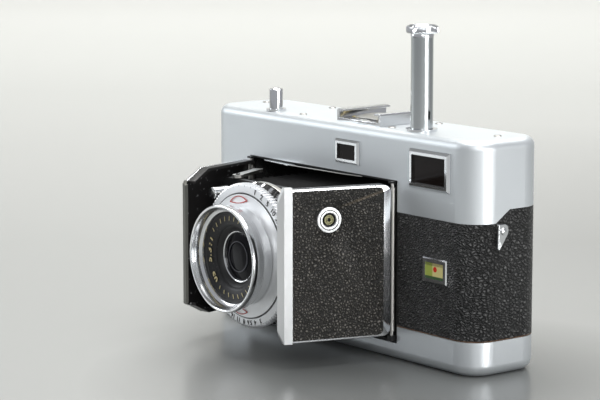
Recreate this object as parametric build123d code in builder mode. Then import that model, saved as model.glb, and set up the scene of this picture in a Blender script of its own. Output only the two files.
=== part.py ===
from build123d import *
from math import cos, radians, sin
import os

os.makedirs("parts", exist_ok=True)

# Folding 35 mm camera with barn doors. Millimetres, +X right, +Y back, +Z up.
# The origin is the mouth of the tripod socket, in the middle of the base.
body_w = 132.0
body_d = 29.0
body_h = 71.4
corner_r = 8.5
front_y = -body_d / 2
leather_t = 0.8
cover_t = 1.2
cap_z = 10.7
band_top = 46.6
rear_band_top = 50.45
seam_y = -5.7
axis_x = -6.5
axis_z = 31.0
open_w = 75.0
open_h = 50.4
door_len = 37.8
door_t = 1.2
door_low = 8.1
door_high = 55.3
door_rest = 16.5
hinge_offset = 1.5
rod_x = 33.9
rod_y = -7.3
rod_r = 3.46
rod_top = 103.8
release_x = -36.3
release_y = -9.6
shoe_x = 7.85
shoe_w = 21.3
ring_r = 16.9
disc_r = 22.8
wheel_x = -8.0
wheel_y = 5.4
cassette_x = 48.3
spool_x = -54.3


def save(piece, name):
    piece.part.label = name
    export_step(piece.part, "parts/" + name + ".step")


def lens_plane(behind):
    return Plane(
        origin=(axis_x, front_y + behind, axis_z), x_dir=(1, 0, 0), z_dir=(0, -1, 0)
    )


# Chassis casting: the inside of the body with the well and both film chambers.
with BuildPart() as main_chassis:
    with BuildSketch(Plane.XY.offset(3.0)):
        RectangleRounded(body_w - 4.4, body_d - 4.4, corner_r - 2.2)
    extrude(amount=66.8)
    with BuildSketch(Plane.XY.offset(cap_z + 0.15)):
        RectangleRounded(body_w - 1.7, body_d - 1.7, corner_r - 0.85)
        with Locations((0, seam_y - 0.2 + 20)):
            Rectangle(160, 40, mode=Mode.SUBTRACT)
    extrude(amount=band_top - cap_z - 0.3)
    with Locations((0, 30, 36)):
        Box(160, 40, 90, mode=Mode.SUBTRACT)
    # rebate for the bezel
    with Locations((axis_x, front_y - 2.85, axis_z)):
        Box(open_w + 0.2, 10, open_h + 0.2, mode=Mode.SUBTRACT)
    # well for the bellows
    with Locations((axis_x, -16, axis_z)):
        Box(74, 10, 49.4, mode=Mode.SUBTRACT)
    with Locations((-6.8, -1.1, axis_z)):
        Box(73.4, 19.8, 49.4, mode=Mode.SUBTRACT)
    # film gate
    with Locations((axis_x, 9.0, axis_z)):
        Box(36, 6, 24, mode=Mode.SUBTRACT)
    # cassette chamber and take-up chamber, open to the back
    with BuildSketch(Plane.XY.offset(5.0)):
        with Locations((cassette_x, 4.5)):
            RectangleRounded(28.6, 35, 6.5)
        with Locations((spool_x, 6.0)):
            RectangleRounded(16.6, 34, 5.0)
    extrude(amount=49, mode=Mode.SUBTRACT)
    # recesses behind the windows
    with Locations((46.35, -12, 61.1)):
        Box(15, 9, 9, mode=Mode.SUBTRACT)
    with Locations((7.05, -12, 62.7)):
        Box(9, 9, 5, mode=Mode.SUBTRACT)
    with Locations((46.5, 9, 61.5)):
        Box(9, 4, 9, mode=Mode.SUBTRACT)
    # plunger bore, release bore, socket recess and fork hole
    with BuildSketch(Plane.XY.offset(35.0)):
        with Locations((rod_x, rod_y)):
            Circle(rod_r + 0.09)
    extrude(amount=40, mode=Mode.SUBTRACT)
    with BuildSketch(Plane.XY.offset(60.0)):
        with Locations((release_x, release_y)):
            Circle(2.4)
    extrude(amount=20, mode=Mode.SUBTRACT)
    with BuildSketch(Plane.XY.offset(2.0)):
        Circle(8.5)
    extrude(amount=3.1, mode=Mode.SUBTRACT)
    with BuildSketch(Plane.XY.offset(2.0)):
        with Locations((cassette_x, 0)):
            Circle(3.4)
    extrude(amount=5, mode=Mode.SUBTRACT)
    # pocket and post of the focusing wheel
    with BuildSketch(Plane.XY.offset(59.4)):
        with Locations((wheel_x, wheel_y)):
            Circle(11.3)
    extrude(amount=5.2, mode=Mode.SUBTRACT)
    with BuildSketch(Plane.XY.offset(59.4)):
        with Locations((wheel_x, wheel_y)):
            Circle(1.4)
    extrude(amount=5.2)
    # film rails either side of the gate
    with Locations((axis_x, 10.15, 45.2), (axis_x, 10.15, 16.8)):
        Box(58, 0.7, 1.2)
save(main_chassis, "main_chassis")

# Top housing: a drawn shell that overhangs the leather.
with BuildPart() as top_cover:
    with BuildSketch(Plane.XY.offset(band_top)):
        RectangleRounded(body_w, body_d, corner_r)
    extrude(amount=body_h - band_top)
    fillet(top_cover.faces().sort_by(Axis.Z)[-1].edges(), 2.75)
    with BuildSketch(Plane.XY.offset(band_top)):
        RectangleRounded(body_w - 2 * cover_t, body_d - 2 * cover_t, corner_r - cover_t)
    extrude(amount=body_h - 1.3 - band_top, mode=Mode.SUBTRACT)
    with BuildSketch(Plane.YZ.offset(-80)):
        with BuildLine():
            Polyline(
                (seam_y, 40), (seam_y, band_top), (0, rear_band_top),
                (20, rear_band_top), (20, 40), close=True,
            )
        make_face()
    extrude(amount=160, mode=Mode.SUBTRACT)
    with Locations((axis_x, -17, axis_z)):
        Box(open_w + 0.2, 14, open_h + 0.2, mode=Mode.SUBTRACT)
    with Locations((46.35, -14, 61.1)):
        Box(18.6, 4, 12.1, mode=Mode.SUBTRACT)
    with Locations((7.05, -14, 62.7)):
        Box(11.8, 4, 7.7, mode=Mode.SUBTRACT)
    with Locations((wheel_x, 14, 62.0)):
        Box(17, 4, 4.8, mode=Mode.SUBTRACT)
    with BuildSketch(Plane(origin=(46.5, 18, 61.5), z_dir=(0, -1, 0))):
        Circle(5.05)
    extrude(amount=6, mode=Mode.SUBTRACT)
    with BuildSketch(Plane.XY.offset(69.0)):
        with Locations((rod_x, rod_y)):
            Circle(4.4)
        with Locations((release_x, release_y)):
            Circle(3.0)
    extrude(amount=6, mode=Mode.SUBTRACT)
save(top_cover, "top_cover")

# Leather of the front half, one piece each side of the opening.
for side, name in ((-1, "leather_front_left"), (1, "leather_front_right")):
    edge = axis_x + side * (open_w / 2 + 0.4)
    with BuildPart() as leather:
        with BuildSketch(Plane.XY.offset(cap_z + 0.15)):
            RectangleRounded(body_w, body_d, corner_r)
            RectangleRounded(
                body_w - 2 * leather_t, body_d - 2 * leather_t, corner_r - leather_t,
                mode=Mode.SUBTRACT,
            )
            with Locations((0, seam_y - 0.2 + 20)):
                Rectangle(160, 40, mode=Mode.SUBTRACT)
            with Locations((edge - side * 60, 0)):
                Rectangle(120, 60, mode=Mode.SUBTRACT)
        extrude(amount=band_top - cap_z - 0.3)
        if side == 1:
            with Locations((48.9, front_y, 30.8)):
                Box(11.1, 6, 7.7, mode=Mode.SUBTRACT)
    save(leather, name)

# Black bezel around the front opening, with the ears that carry the hinge pins.
pivot_x = 37.5 - hinge_offset * cos(radians(door_rest))
pivot_y = front_y - 1.0 + hinge_offset * sin(radians(door_rest))
with BuildPart() as opening_bezel:
    with BuildSketch(Plane(origin=(axis_x, -12.35, axis_z), x_dir=(1, 0, 0), z_dir=(0, -1, 0))):
        RectangleRounded(open_w, open_h, 3.0)
        RectangleRounded(73.8, 49.4, 2.4, mode=Mode.SUBTRACT)
    extrude(amount=1.85)
    for side in (-1, 1):
        with Locations((axis_x + side * pivot_x, (pivot_y - 12.35) / 2 - 0.5, 6.95)):
            Box(2.0, -12.35 - pivot_y + 1.0, 1.7)
        with Locations((axis_x + side * pivot_x, (pivot_y - 12.35) / 2 - 0.5, 55.75)):
            Box(2.0, -12.35 - pivot_y + 1.0, 0.6)
    with BuildSketch(Plane.XY.offset(0)):
        for side in (-1, 1):
            with Locations((axis_x + side * pivot_x, pivot_y)):
                Circle(0.6)
    extrude(amount=60, mode=Mode.SUBTRACT)
save(opening_bezel, "opening_bezel")

with BuildPart() as hinge_pins:
    with BuildSketch(Plane.XY.offset(6.2)):
        for side in (-1, 1):
            with Locations((axis_x + side * pivot_x, pivot_y)):
                Circle(0.6)
    extrude(amount=49.8)
save(hinge_pins, "hinge_pins")

# Window frames and panes.
windows = (
    ("viewfinder", 46.35, 61.1, 18.5, 12.0, 15.2, 8.7, 1.1),
    ("rangefinder", 7.05, 62.7, 11.7, 7.6, 8.8, 4.8, 0.9),
    ("reminder", 48.9, 30.8, 11.0, 7.6, 8.2, 4.9, 0.5),
)
for name, x, z, w, h, wi, hi, proud in windows:
    with BuildPart() as frame:
        back = 1.9 if name != "reminder" else 0.75
        with BuildSketch(Plane(origin=(x, front_y + back, z), x_dir=(1, 0, 0), z_dir=(0, -1, 0))):
            Rectangle(w, h)
        extrude(amount=back + proud)
        chamfer(frame.faces().sort_by(Axis.Y)[0].edges(), proud * 0.7)
        with Locations((x, front_y, z)):
            Box(wi, 10, hi, mode=Mode.SUBTRACT)
    save(frame, name + "_frame")
    with BuildPart() as pane:
        with Locations((x, front_y + 0.2, z)):
            Box(wi, 1.0, hi)
    save(pane, name + ("_dial" if name == "reminder" else "_glass"))

with BuildPart() as eyepiece_ring:
    with BuildSketch(Plane(origin=(46.5, 15.3, 61.5), x_dir=(1, 0, 0), z_dir=(0, -1, 0))):
        Circle(5.0)
        Circle(3.2, mode=Mode.SUBTRACT)
    extrude(amount=2.8)
    with BuildSketch(Plane(origin=(46.5, 15.5, 61.5), x_dir=(1, 0, 0), z_dir=(0, -1, 0))):
        Circle(6.0)
        Circle(3.2, mode=Mode.SUBTRACT)
    extrude(amount=0.95)
save(eyepiece_ring, "eyepiece_ring")

with BuildPart() as eyepiece_glass:
    with BuildSketch(Plane(origin=(46.5, 14.6, 61.5), x_dir=(1, 0, 0), z_dir=(0, -1, 0))):
        Circle(3.2)
    extrude(amount=1.2)
save(eyepiece_glass, "eyepiece_glass")

# Accessory shoe on the top.
with BuildPart() as accessory_shoe:
    with Locations((shoe_x, -1.25, body_h + 0.6)):
        Box(shoe_w, 19.5, 1.2)
    for side in (-1, 1):
        with Locations((shoe_x + side * (shoe_w / 2 - 0.6), -1.25, body_h + 2.0)):
            Box(1.2, 19.5, 4.0)
        with Locations((shoe_x + side * (shoe_w / 2 - 1.5), -1.25, body_h + 3.55)):
            Box(3.0, 19.5, 0.9)
save(accessory_shoe, "accessory_shoe")

with BuildPart() as shoe_spring:
    with Locations((shoe_x, -1.25, body_h + 1.95)):
        Box(11.0, 14.0, 0.3)
    with Locations((shoe_x, 4.75, body_h + 1.5)):
        Box(11.0, 2.0, 0.6)
save(shoe_spring, "shoe_spring")

with BuildPart() as shoe_screws:
    with BuildSketch(Plane.XY.offset(body_h + 1.2)):
        for dx in (-7.2, 7.2):
            for dy in (-6.0, 4.0):
                with Locations((shoe_x + dx, dy)):
                    Circle(1.3)
    extrude(amount=0.5)
save(shoe_screws, "shoe_screws")

with BuildPart() as top_screws:
    with BuildSketch(Plane.XY.offset(body_h)):
        for x, y in ((-57, 2), (-22, -9.5), (-30, 9), (22.5, -9.5), (24, 8.5), (58, 2)):
            with Locations((x, y)):
                Circle(1.35)
    extrude(amount=0.35)
save(top_screws, "top_screws")

# Bushes of the plunger and of the release button.
with BuildPart() as plunger_bush:
    with BuildSketch(Plane.XY.offset(69.9)):
        with Locations((rod_x, rod_y)):
            Circle(4.35)
    extrude(amount=1.5)
    with BuildSketch(Plane.XY.offset(body_h)):
        with Locations((rod_x, rod_y)):
            Circle(4.9)
    extrude(amount=0.8)
    with BuildSketch(Plane.XY.offset(69)):
        with Locations((rod_x, rod_y)):
            Circle(rod_r + 0.06)
    extrude(amount=5, mode=Mode.SUBTRACT)
save(plunger_bush, "plunger_bush")

with BuildPart() as release_collar:
    with BuildSketch(Plane.XY.offset(69.9)):
        with Locations((release_x, release_y)):
            Circle(2.95)
    extrude(amount=1.5)
    with BuildSketch(Plane.XY.offset(body_h)):
        with Locations((release_x, release_y)):
            Circle(3.3)
    extrude(amount=0.7)
    with BuildSketch(Plane.XY.offset(69)):
        with Locations((release_x, release_y)):
            Circle(2.31)
    extrude(amount=5, mode=Mode.SUBTRACT)
save(release_collar, "release_collar")

# Strap lugs: triangular tabs hung from the top housing over the leather.
for side, name in ((-1, "strap_lug_left"), (1, "strap_lug_right")):
    with BuildPart() as lug:
        with BuildSketch(Plane.YZ.offset(side * 67.1)):
            with BuildLine():
                Polyline(
                    (-7.3, 49.2), (-1.7, 49.2), (-1.7, 43.4),
                    (-4.5, 38.6), (-7.3, 43.4), close=True,
                )
            make_face()
        extrude(amount=0.9, both=True)
        with BuildSketch(Plane.YZ.offset(side * 66.0)):
            with Locations((-4.5, 48.9)):
                Rectangle(5.6, 3.2)
        extrude(amount=side * 0.5)
        with BuildSketch(Plane.YZ.offset(side * 66.0)):
            with Locations((-4.5, 43.6)):
                Circle(1.5)
        extrude(amount=6, both=True, mode=Mode.SUBTRACT)
        with Locations((side * 65.5, -4.5, 44)):
            Box(1.3, 10, 9.9, mode=Mode.SUBTRACT)
        with Locations((side * 65.0, -4.5, 44)):
            Box(2.0, 10, 14, mode=Mode.SUBTRACT)
    save(lug, name)

# Bellows between the lens board and the film gate, pleated front to back.
with BuildPart() as bellows:
    for k in range(10):
        with BuildSketch(lens_plane(23.2 - 4.0 * k)):
            Rectangle(50, 40)
        extrude(amount=2.2)
        with BuildSketch(lens_plane(21.0 - 4.0 * k)):
            Rectangle(46, 36)
        extrude(amount=1.8)
    with BuildSketch(lens_plane(30)):
        Rectangle(43, 33)
    extrude(amount=60, mode=Mode.SUBTRACT)
save(bellows, "bellows")

# Lens board with the stubs that carry the two struts.
with BuildPart() as standard_plate:
    with BuildSketch(lens_plane(-17.0)):
        RectangleRounded(56, 42, 4)
        Circle(12, mode=Mode.SUBTRACT)
    extrude(amount=2.0)
    with BuildSketch(Plane.XY.offset(51.0)):
        for side in (-1, 1):
            with Locations((axis_x + side * 20, front_y - 18.0)):
                Circle(0.7)
    extrude(amount=2.6)
save(standard_plate, "standard_plate")

with BuildPart() as shutter_housing:
    with BuildSketch(lens_plane(-19.0)):
        Circle(21.4)
    extrude(amount=8.2)
    with BuildSketch(lens_plane(-27.2)):
        Circle(19.5)
    extrude(amount=1.4)
    with BuildSketch(lens_plane(-19.0)):
        Circle(12)
    extrude(amount=10, mode=Mode.SUBTRACT)
save(shutter_housing, "shutter_housing")

with BuildPart() as shutter_face:
    with BuildSketch(lens_plane(-28.6)):
        Circle(19.6)
        Circle(13.0, mode=Mode.SUBTRACT)
    extrude(amount=2.2)
    chamfer(shutter_face.faces().sort_by(Axis.Y)[0].edges().sort_by(SortBy.LENGTH)[-1], 0.5)
save(shutter_face, "shutter_face")

# Speed ring with a serrated rim, aperture ring behind it, cocking lever behind that.
with BuildPart() as speed_ring:
    with BuildSketch(lens_plane(-27.3)):
        Circle(disc_r)
        Circle(19.7, mode=Mode.SUBTRACT)
        for k in range(60):
            a = radians(6 * k)
            with Locations((disc_r * cos(a), disc_r * sin(a))):
                Circle(0.55, mode=Mode.SUBTRACT)
    extrude(amount=3.0)
save(speed_ring, "speed_ring")

with BuildPart() as aperture_ring:
    with BuildSketch(lens_plane(-24.0)):
        Circle(22.6)
        Circle(21.48, mode=Mode.SUBTRACT)
    extrude(amount=3.0)
save(aperture_ring, "aperture_ring")

with BuildPart() as cocking_lever:
    with BuildSketch(lens_plane(-21.8)):
        Circle(22.6)
        with Locations(Rot(0, 0, 140)):
            with Locations((24.0, 0)):
                Rectangle(4.5, 2.6)
        with Locations((26.6 * cos(radians(140)), 26.6 * sin(radians(140)))):
            Circle(2.0)
        Circle(21.48, mode=Mode.SUBTRACT)
    extrude(amount=1.8)
    with BuildSketch(lens_plane(-23.6)):
        with Locations((26.6 * cos(radians(140)), 26.6 * sin(radians(140)))):
            Circle(1.8)
    extrude(amount=4.6)
save(cocking_lever, "cocking_lever")

# Barrel, flared filter ring, scale ring, lenses and blades.
with BuildPart() as lens_barrel:
    with BuildSketch(lens_plane(-16.6)):
        Circle(11.9)
        Circle(8.6, mode=Mode.SUBTRACT)
    extrude(amount=14.6)
    with BuildSketch(lens_plane(-31.0)):
        Circle(14.2)
        Circle(9.6, mode=Mode.SUBTRACT)
    extrude(amount=3.0)
save(lens_barrel, "lens_barrel")

lens_section = Plane(origin=(axis_x, front_y, axis_z), x_dir=(1, 0, 0), z_dir=(0, 0, 1))
lens_line = Axis((axis_x, 0, axis_z), (0, 1, 0))
with BuildPart() as filter_ring:
    with BuildSketch(lens_section):
        with BuildLine():
            Polyline(
                (14.3, -31.0), (15.4, -31.0), (15.4, -34.2), (16.3, -35.0),
                (16.3, -37.2), (ring_r, -37.8), (ring_r, -39.2), (16.6, -39.6),
                (16.1, -39.6), (15.5, -38.4), (15.5, -36.6), (14.3, -35.4), close=True,
            )
        make_face()
    revolve(axis=lens_line)
save(filter_ring, "filter_ring")

with BuildPart() as scale_ring:
    with BuildSketch(lens_section):
        with BuildLine():
            Polyline(
                (9.7, -34.0), (14.2, -34.0), (14.2, -36.2), (13.6, -36.2),
                (10.4, -35.4), (9.7, -35.4), close=True,
            )
        make_face()
    revolve(axis=lens_line)
save(scale_ring, "scale_ring")

# each lens is a disc cut to a dome by a sphere on the lens axis
with BuildPart() as front_lens:
    with BuildSketch(lens_plane(-32.2)):
        Circle(9.5)
    extrude(amount=2.8)
    with Locations((axis_x, front_y - 35.0 + 29.0, axis_z)):
        Sphere(29.0, mode=Mode.INTERSECT)
save(front_lens, "front_lens")

with BuildPart() as rear_lens:
    with BuildSketch(lens_plane(-17.2)):
        Circle(8.5)
    extrude(amount=2.4)
    with Locations((axis_x, front_y - 17.2 - 26.5, axis_z)):
        Sphere(26.5, mode=Mode.INTERSECT)
save(rear_lens, "rear_lens")

with BuildPart() as shutter_blades:
    with BuildSketch(lens_plane(-25.0)):
        Circle(8.5)
        Circle(3.0, mode=Mode.SUBTRACT)
    extrude(amount=0.5)
save(shutter_blades, "shutter_blades")

# Barn doors: a tray of thin metal with leather on it and a bright two-facet nose.
for side, hand in ((-1, "left"), (1, "right")):
    turn = radians(door_rest)
    hinge = (axis_x + side * 37.5, front_y - 1.0, 0)
    # local x runs along the door from the hinge, local y points out of the door's face
    along = (-side * sin(turn), -cos(turn), 0)
    # a door's sketches are extruded up on the right side and down on the left

    def door_sketch_plane(z):
        return Plane(origin=(hinge[0], hinge[1], z), x_dir=along, z_dir=(0, 0, side))

    start = door_low if side == 1 else door_high
    tall = door_high - door_low
    with BuildPart() as shell:
        with BuildSketch(door_sketch_plane(start)):
            with BuildLine():
                Polyline(
                    (1.0, -door_t), (1.0, 0), (3.3, 0), (3.3, -0.5),
                    (33.6, -0.5), (33.6, -door_t), close=True,
                )
            make_face()
        extrude(amount=tall)
        # tray flanges at the foot and head
        for z0 in (door_low, door_high - 1.0):
            base = z0 if side == 1 else z0 + 1.0
            with BuildSketch(door_sketch_plane(base)):
                with BuildLine():
                    Polyline(
                        (4.5, -4.2), (3.0, -door_t), (3.0, -0.5), (33.6, -0.5),
                        (33.6, -3.4), (32.0, -4.2), close=True,
                    )
                make_face()
            extrude(amount=1.0)
        # knuckle around the hinge pin
        knuckle_base = 9.0 if side == 1 else 54.4
        with BuildSketch(door_sketch_plane(knuckle_base)):
            with Locations((0, -hinge_offset)):
                Circle(1.0)
            with BuildLine():
                Polyline((0, -0.55), (1.6, -0.3), (1.6, -door_t), (0.5, -1.5), close=True)
            make_face()
        extrude(amount=45.4)
        with BuildSketch(door_sketch_plane(start - side * 2)):
            with Locations((0, -hinge_offset)):
                Circle(0.66)
        extrude(amount=tall + 4, mode=Mode.SUBTRACT)
        if side == 1:
            with BuildSketch(Plane(
                origin=(hinge[0] + along[0] * 21.8, hinge[1] + along[1] * 21.8, 45.6),
                x_dir=along, z_dir=(cos(turn), -sin(turn), 0),
            )):
                Circle(3.65)
            extrude(amount=4, both=True, mode=Mode.SUBTRACT)
    save(shell, "door_" + hand + "_shell")

    with BuildPart() as cloth:
        with BuildSketch(door_sketch_plane(start + side * 0.4)):
            with BuildLine():
                Polyline((3.35, -0.5), (3.35, 0.05), (33.6, 0.05), (33.6, -0.5), close=True)
            make_face()
        extrude(amount=tall - 0.8)
        if side == 1:
            with BuildSketch(Plane(
                origin=(hinge[0] + along[0] * 21.8, hinge[1] + along[1] * 21.8, 45.6),
                x_dir=along, z_dir=(cos(turn), -sin(turn), 0),
            )):
                Circle(3.65)
            extrude(amount=4, both=True, mode=Mode.SUBTRACT)
    save(cloth, "door_" + hand + "_leather")

    with BuildPart() as nose:
        nose_start = start - side * 0.2
        with BuildSketch(door_sketch_plane(nose_start)):
            with BuildLine():
                Polyline(
                    (33.65, 0.15), (36.1, -0.3), (door_len, -2.1), (37.1, -2.9),
                    (35.6, -1.5), (33.65, -door_t), close=True,
                )
            make_face()
        extrude(amount=tall + 0.4)
        # bevelled head and foot, cut across the door's face
        for z_edge, dz in ((door_high + 1, -1), (door_low - 1, 1)):
            corner = [
                (door_len + 2, z_edge), (33.9, z_edge), (door_len + 2, z_edge + dz * 7.0),
            ]
            pts = [
                (hinge[0] + along[0] * s, hinge[1] + along[1] * s, z) for s, z in corner
            ]
            with BuildSketch(Plane(
                origin=(hinge[0], hinge[1], 0), x_dir=along,
                z_dir=(cos(turn) * side, -sin(turn), 0),
            )):
                with BuildLine():
                    if side == 1:
                        Polyline(*[(s, z) for s, z in corner], close=True)
                    else:
                        Polyline(*[(s, -z) for s, z in corner], close=True)
                make_face()
            extrude(amount=12, both=True, mode=Mode.SUBTRACT)
    save(nose, "door_" + hand + "_nose")

# Flash socket set in the right-hand door.
turn = radians(door_rest)
along = (-sin(turn), -cos(turn), 0)
socket_plane = Plane(
    origin=(axis_x + 37.5 + along[0] * 21.8, front_y - 1.0 + along[1] * 21.8, 45.6),
    x_dir=along, z_dir=(cos(turn), -sin(turn), 0),
)
with BuildPart() as sync_socket:
    with BuildSketch(socket_plane.offset(-1.4)):
        Circle(3.6)
        Circle(2.7, mode=Mode.SUBTRACT)
    extrude(amount=2.3)
    with BuildSketch(socket_plane.offset(-1.4)):
        Circle(3.6)
    extrude(amount=0.5)
    with BuildSketch(socket_plane.offset(-1.4)):
        Circle(1.7)
        Circle(0.7, mode=Mode.SUBTRACT)
    extrude(amount=2.1)
save(sync_socket, "sync_socket")

# Struts on the lens board. Their outer ends are left free of the doors.
for side, hand in ((-1, "left"), (1, "right")):
    px = axis_x + side * 20
    py = front_y - 18.0
    lean = radians(26.6)
    ex = px + side * 14.0 * sin(lean)
    ey = py + 14.0 * cos(lean)
    with BuildPart() as strut:
        with BuildSketch(Plane.XY.offset(52.3)):
            with Locations((px, py), (ex, ey)):
                Circle(1.8)
            with Locations(((px + ex) / 2, (py + ey) / 2)):
                Rectangle(14.0, 2.8, rotation=90 - side * 26.6)
            with Locations((px, py)):
                Circle(0.76, mode=Mode.SUBTRACT)
        extrude(amount=1.0)
    save(strut, "strut_" + hand)

# Plunger.
with BuildPart() as plunger_rod:
    with BuildSketch(Plane.XY.offset(64.0)):
        with Locations((rod_x, rod_y)):
            Circle(rod_r)
    extrude(amount=37.4)
    with BuildSketch(Plane(origin=(rod_x, rod_y, 76.5), x_dir=(0, 1, 0), z_dir=(1, 0, 0))):
        SlotOverall(2.7, 0.8, rotation=90)
    extrude(amount=6, mode=Mode.SUBTRACT)
save(plunger_rod, "plunger_rod")

with BuildPart() as plunger_cap:
    with BuildSketch(Plane.XY.offset(101.4)):
        with Locations((rod_x, rod_y)):
            Circle(5.0)
    extrude(amount=2.4)
    fillet(plunger_cap.faces().sort_by(Axis.Z)[-1].edges(), 0.4)
    with BuildSketch(Plane.XY.offset(102.8)):
        with Locations((rod_x, rod_y)):
            Circle(3.9)
    extrude(amount=2, mode=Mode.SUBTRACT)
save(plunger_cap, "plunger_cap")

with BuildPart() as release_button:
    with BuildSketch(Plane.XY.offset(66.0)):
        with Locations((release_x, release_y)):
            Circle(2.25)
    extrude(amount=12.7)
    fillet(release_button.faces().sort_by(Axis.Z)[-1].edges(), 0.3)
    with BuildSketch(Plane.XY.offset(76.5)):
        with Locations((release_x, release_y)):
            Circle(0.9)
    extrude(amount=4, mode=Mode.SUBTRACT)
save(release_button, "release_button")

with BuildPart() as focus_wheel:
    with BuildSketch(Plane.XY.offset(60.0)):
        with Locations((wheel_x, wheel_y)):
            Circle(10.6)
        for k in range(48):
            a = radians(7.5 * k)
            with Locations((wheel_x + 10.6 * cos(a), wheel_y + 10.6 * sin(a))):
                Circle(0.32, mode=Mode.SUBTRACT)
        with Locations((wheel_x, wheel_y)):
            Circle(1.46, mode=Mode.SUBTRACT)
    extrude(amount=4.0)
save(focus_wheel, "focus_wheel")

# Removable back and bottom in one piece.
with BuildPart() as back_cover:
    with BuildSketch(Plane.XY):
        RectangleRounded(body_w, body_d, corner_r)
    extrude(amount=cap_z)
    fillet(back_cover.faces().sort_by(Axis.Z)[0].edges(), 3.4)
    with BuildSketch(Plane.XY.offset(1.5)):
        RectangleRounded(body_w - 4, body_d - 4, corner_r - 2)
    extrude(amount=cap_z, mode=Mode.SUBTRACT)
    with BuildSketch(Plane.XY.offset(cap_z - 0.6)):
        RectangleRounded(body_w - 2 * leather_t, body_d - 2 * leather_t, corner_r - leather_t)
        RectangleRounded(body_w - 4, body_d - 4, corner_r - 2, mode=Mode.SUBTRACT)
        with Locations((0, seam_y - 20)):
            Rectangle(160, 40, mode=Mode.SUBTRACT)
    extrude(amount=rear_band_top - cap_z + 0.4)
    with BuildSketch(Plane.YZ.offset(-80)):
        with BuildLine():
            Polyline(
                (-30, 46.4), (seam_y, 46.4), (0, rear_band_top - 0.2),
                (30, rear_band_top - 0.2), (30, 60), (-30, 60), close=True,
            )
        make_face()
    extrude(amount=160, mode=Mode.SUBTRACT)
    with Locations((axis_x, -15, 10.5)):
        Box(open_w + 0.6, 8, 10.2, mode=Mode.SUBTRACT)
    with BuildSketch(Plane.XY.offset(-1)):
        Circle(6.2)
        with Locations((-48, 0), (cassette_x, 0)):
            Circle(8.7)
    extrude(amount=4, mode=Mode.SUBTRACT)
save(back_cover, "back_cover")

with BuildPart() as back_leather:
    with BuildSketch(Plane.XY.offset(cap_z + 0.15)):
        RectangleRounded(body_w, body_d, corner_r)
        RectangleRounded(
            body_w - 2 * leather_t, body_d - 2 * leather_t, corner_r - leather_t,
            mode=Mode.SUBTRACT,
        )
        with Locations((0, seam_y - 20)):
            Rectangle(160, 40, mode=Mode.SUBTRACT)
    extrude(amount=rear_band_top - cap_z)
    with BuildSketch(Plane.YZ.offset(-80)):
        with BuildLine():
            Polyline(
                (-30, 46.4), (seam_y, 46.4), (0, rear_band_top - 0.2),
                (30, rear_band_top - 0.2), (30, 60), (-30, 60), close=True,
            )
        make_face()
    extrude(amount=160, mode=Mode.SUBTRACT)
save(back_leather, "back_leather")

with BuildPart() as tripod_socket:
    with BuildSketch(Plane.XY):
        Circle(6.15)
        Circle(3.175, mode=Mode.SUBTRACT)
    extrude(amount=4.9)
    with BuildSketch(Plane.XY.offset(1.5)):
        Circle(7.6)
        Circle(6.1, mode=Mode.SUBTRACT)
    extrude(amount=1.4)
save(tripod_socket, "tripod_socket")

with BuildPart() as pressure_plate:
    with Locations((axis_x, 11.4, axis_z)):
        Box(56, 0.8, 33)
    with BuildSketch(Plane(origin=(axis_x, 12.5, axis_z), x_dir=(1, 0, 0), z_dir=(0, -1, 0))):
        with Locations((-18, 0), (18, 0)):
            Circle(3.0)
    extrude(amount=0.9)
save(pressure_plate, "pressure_plate")

# Lock key and rewind knob, both sunk in the base.
with BuildPart() as lock_key:
    with BuildSketch(Plane.XY.offset(0.9)):
        with Locations((-48, 0)):
            Circle(8.6)
    extrude(amount=0.9)
    with BuildSketch(Plane.XY.offset(1.6)):
        with Locations((-48, 0)):
            Circle(9.6)
    extrude(amount=1.0)
    with Locations((-48, 0, 0.6)):
        Box(13.0, 2.2, 0.7)
save(lock_key, "lock_key")

with BuildPart() as rewind_knob:
    with BuildSketch(Plane.XY.offset(0.3)):
        with Locations((cassette_x, 0)):
            Circle(8.6)
            with PolarLocations(6.2, 6):
                Circle(1.0, mode=Mode.SUBTRACT)
    extrude(amount=1.5)
    with BuildSketch(Plane.XY.offset(1.6)):
        with Locations((cassette_x, 0)):
            Circle(9.6)
    extrude(amount=1.0)
    with BuildSketch(Plane.XY.offset(2.4)):
        with Locations((cassette_x, 0)):
            Circle(2.6)
    extrude(amount=5.6)
    with Locations((cassette_x, 0, 8.6)):
        Box(4.0, 1.0, 1.6)
save(rewind_knob, "rewind_knob")

with BuildPart() as take_up_spool:
    with BuildSketch(Plane.XY.offset(5.4)):
        with Locations((spool_x, 0.5)):
            Circle(5.2)
    extrude(amount=48.2)
    with BuildSketch(Plane.XY.offset(5.4)):
        with Locations((spool_x, 0.5)):
            Circle(7.6)
    extrude(amount=1.0)
    with BuildSketch(Plane.XY.offset(52.6)):
        with Locations((spool_x, 0.5)):
            Circle(7.6)
    extrude(amount=1.0)
    with Locations((spool_x, 0.5, 29.5)):
        Box(1.2, 20, 30, mode=Mode.SUBTRACT)
save(take_up_spool, "take_up_spool")
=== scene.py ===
import math

import bmesh
import bpy
from mathutils import Matrix, Vector


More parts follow.
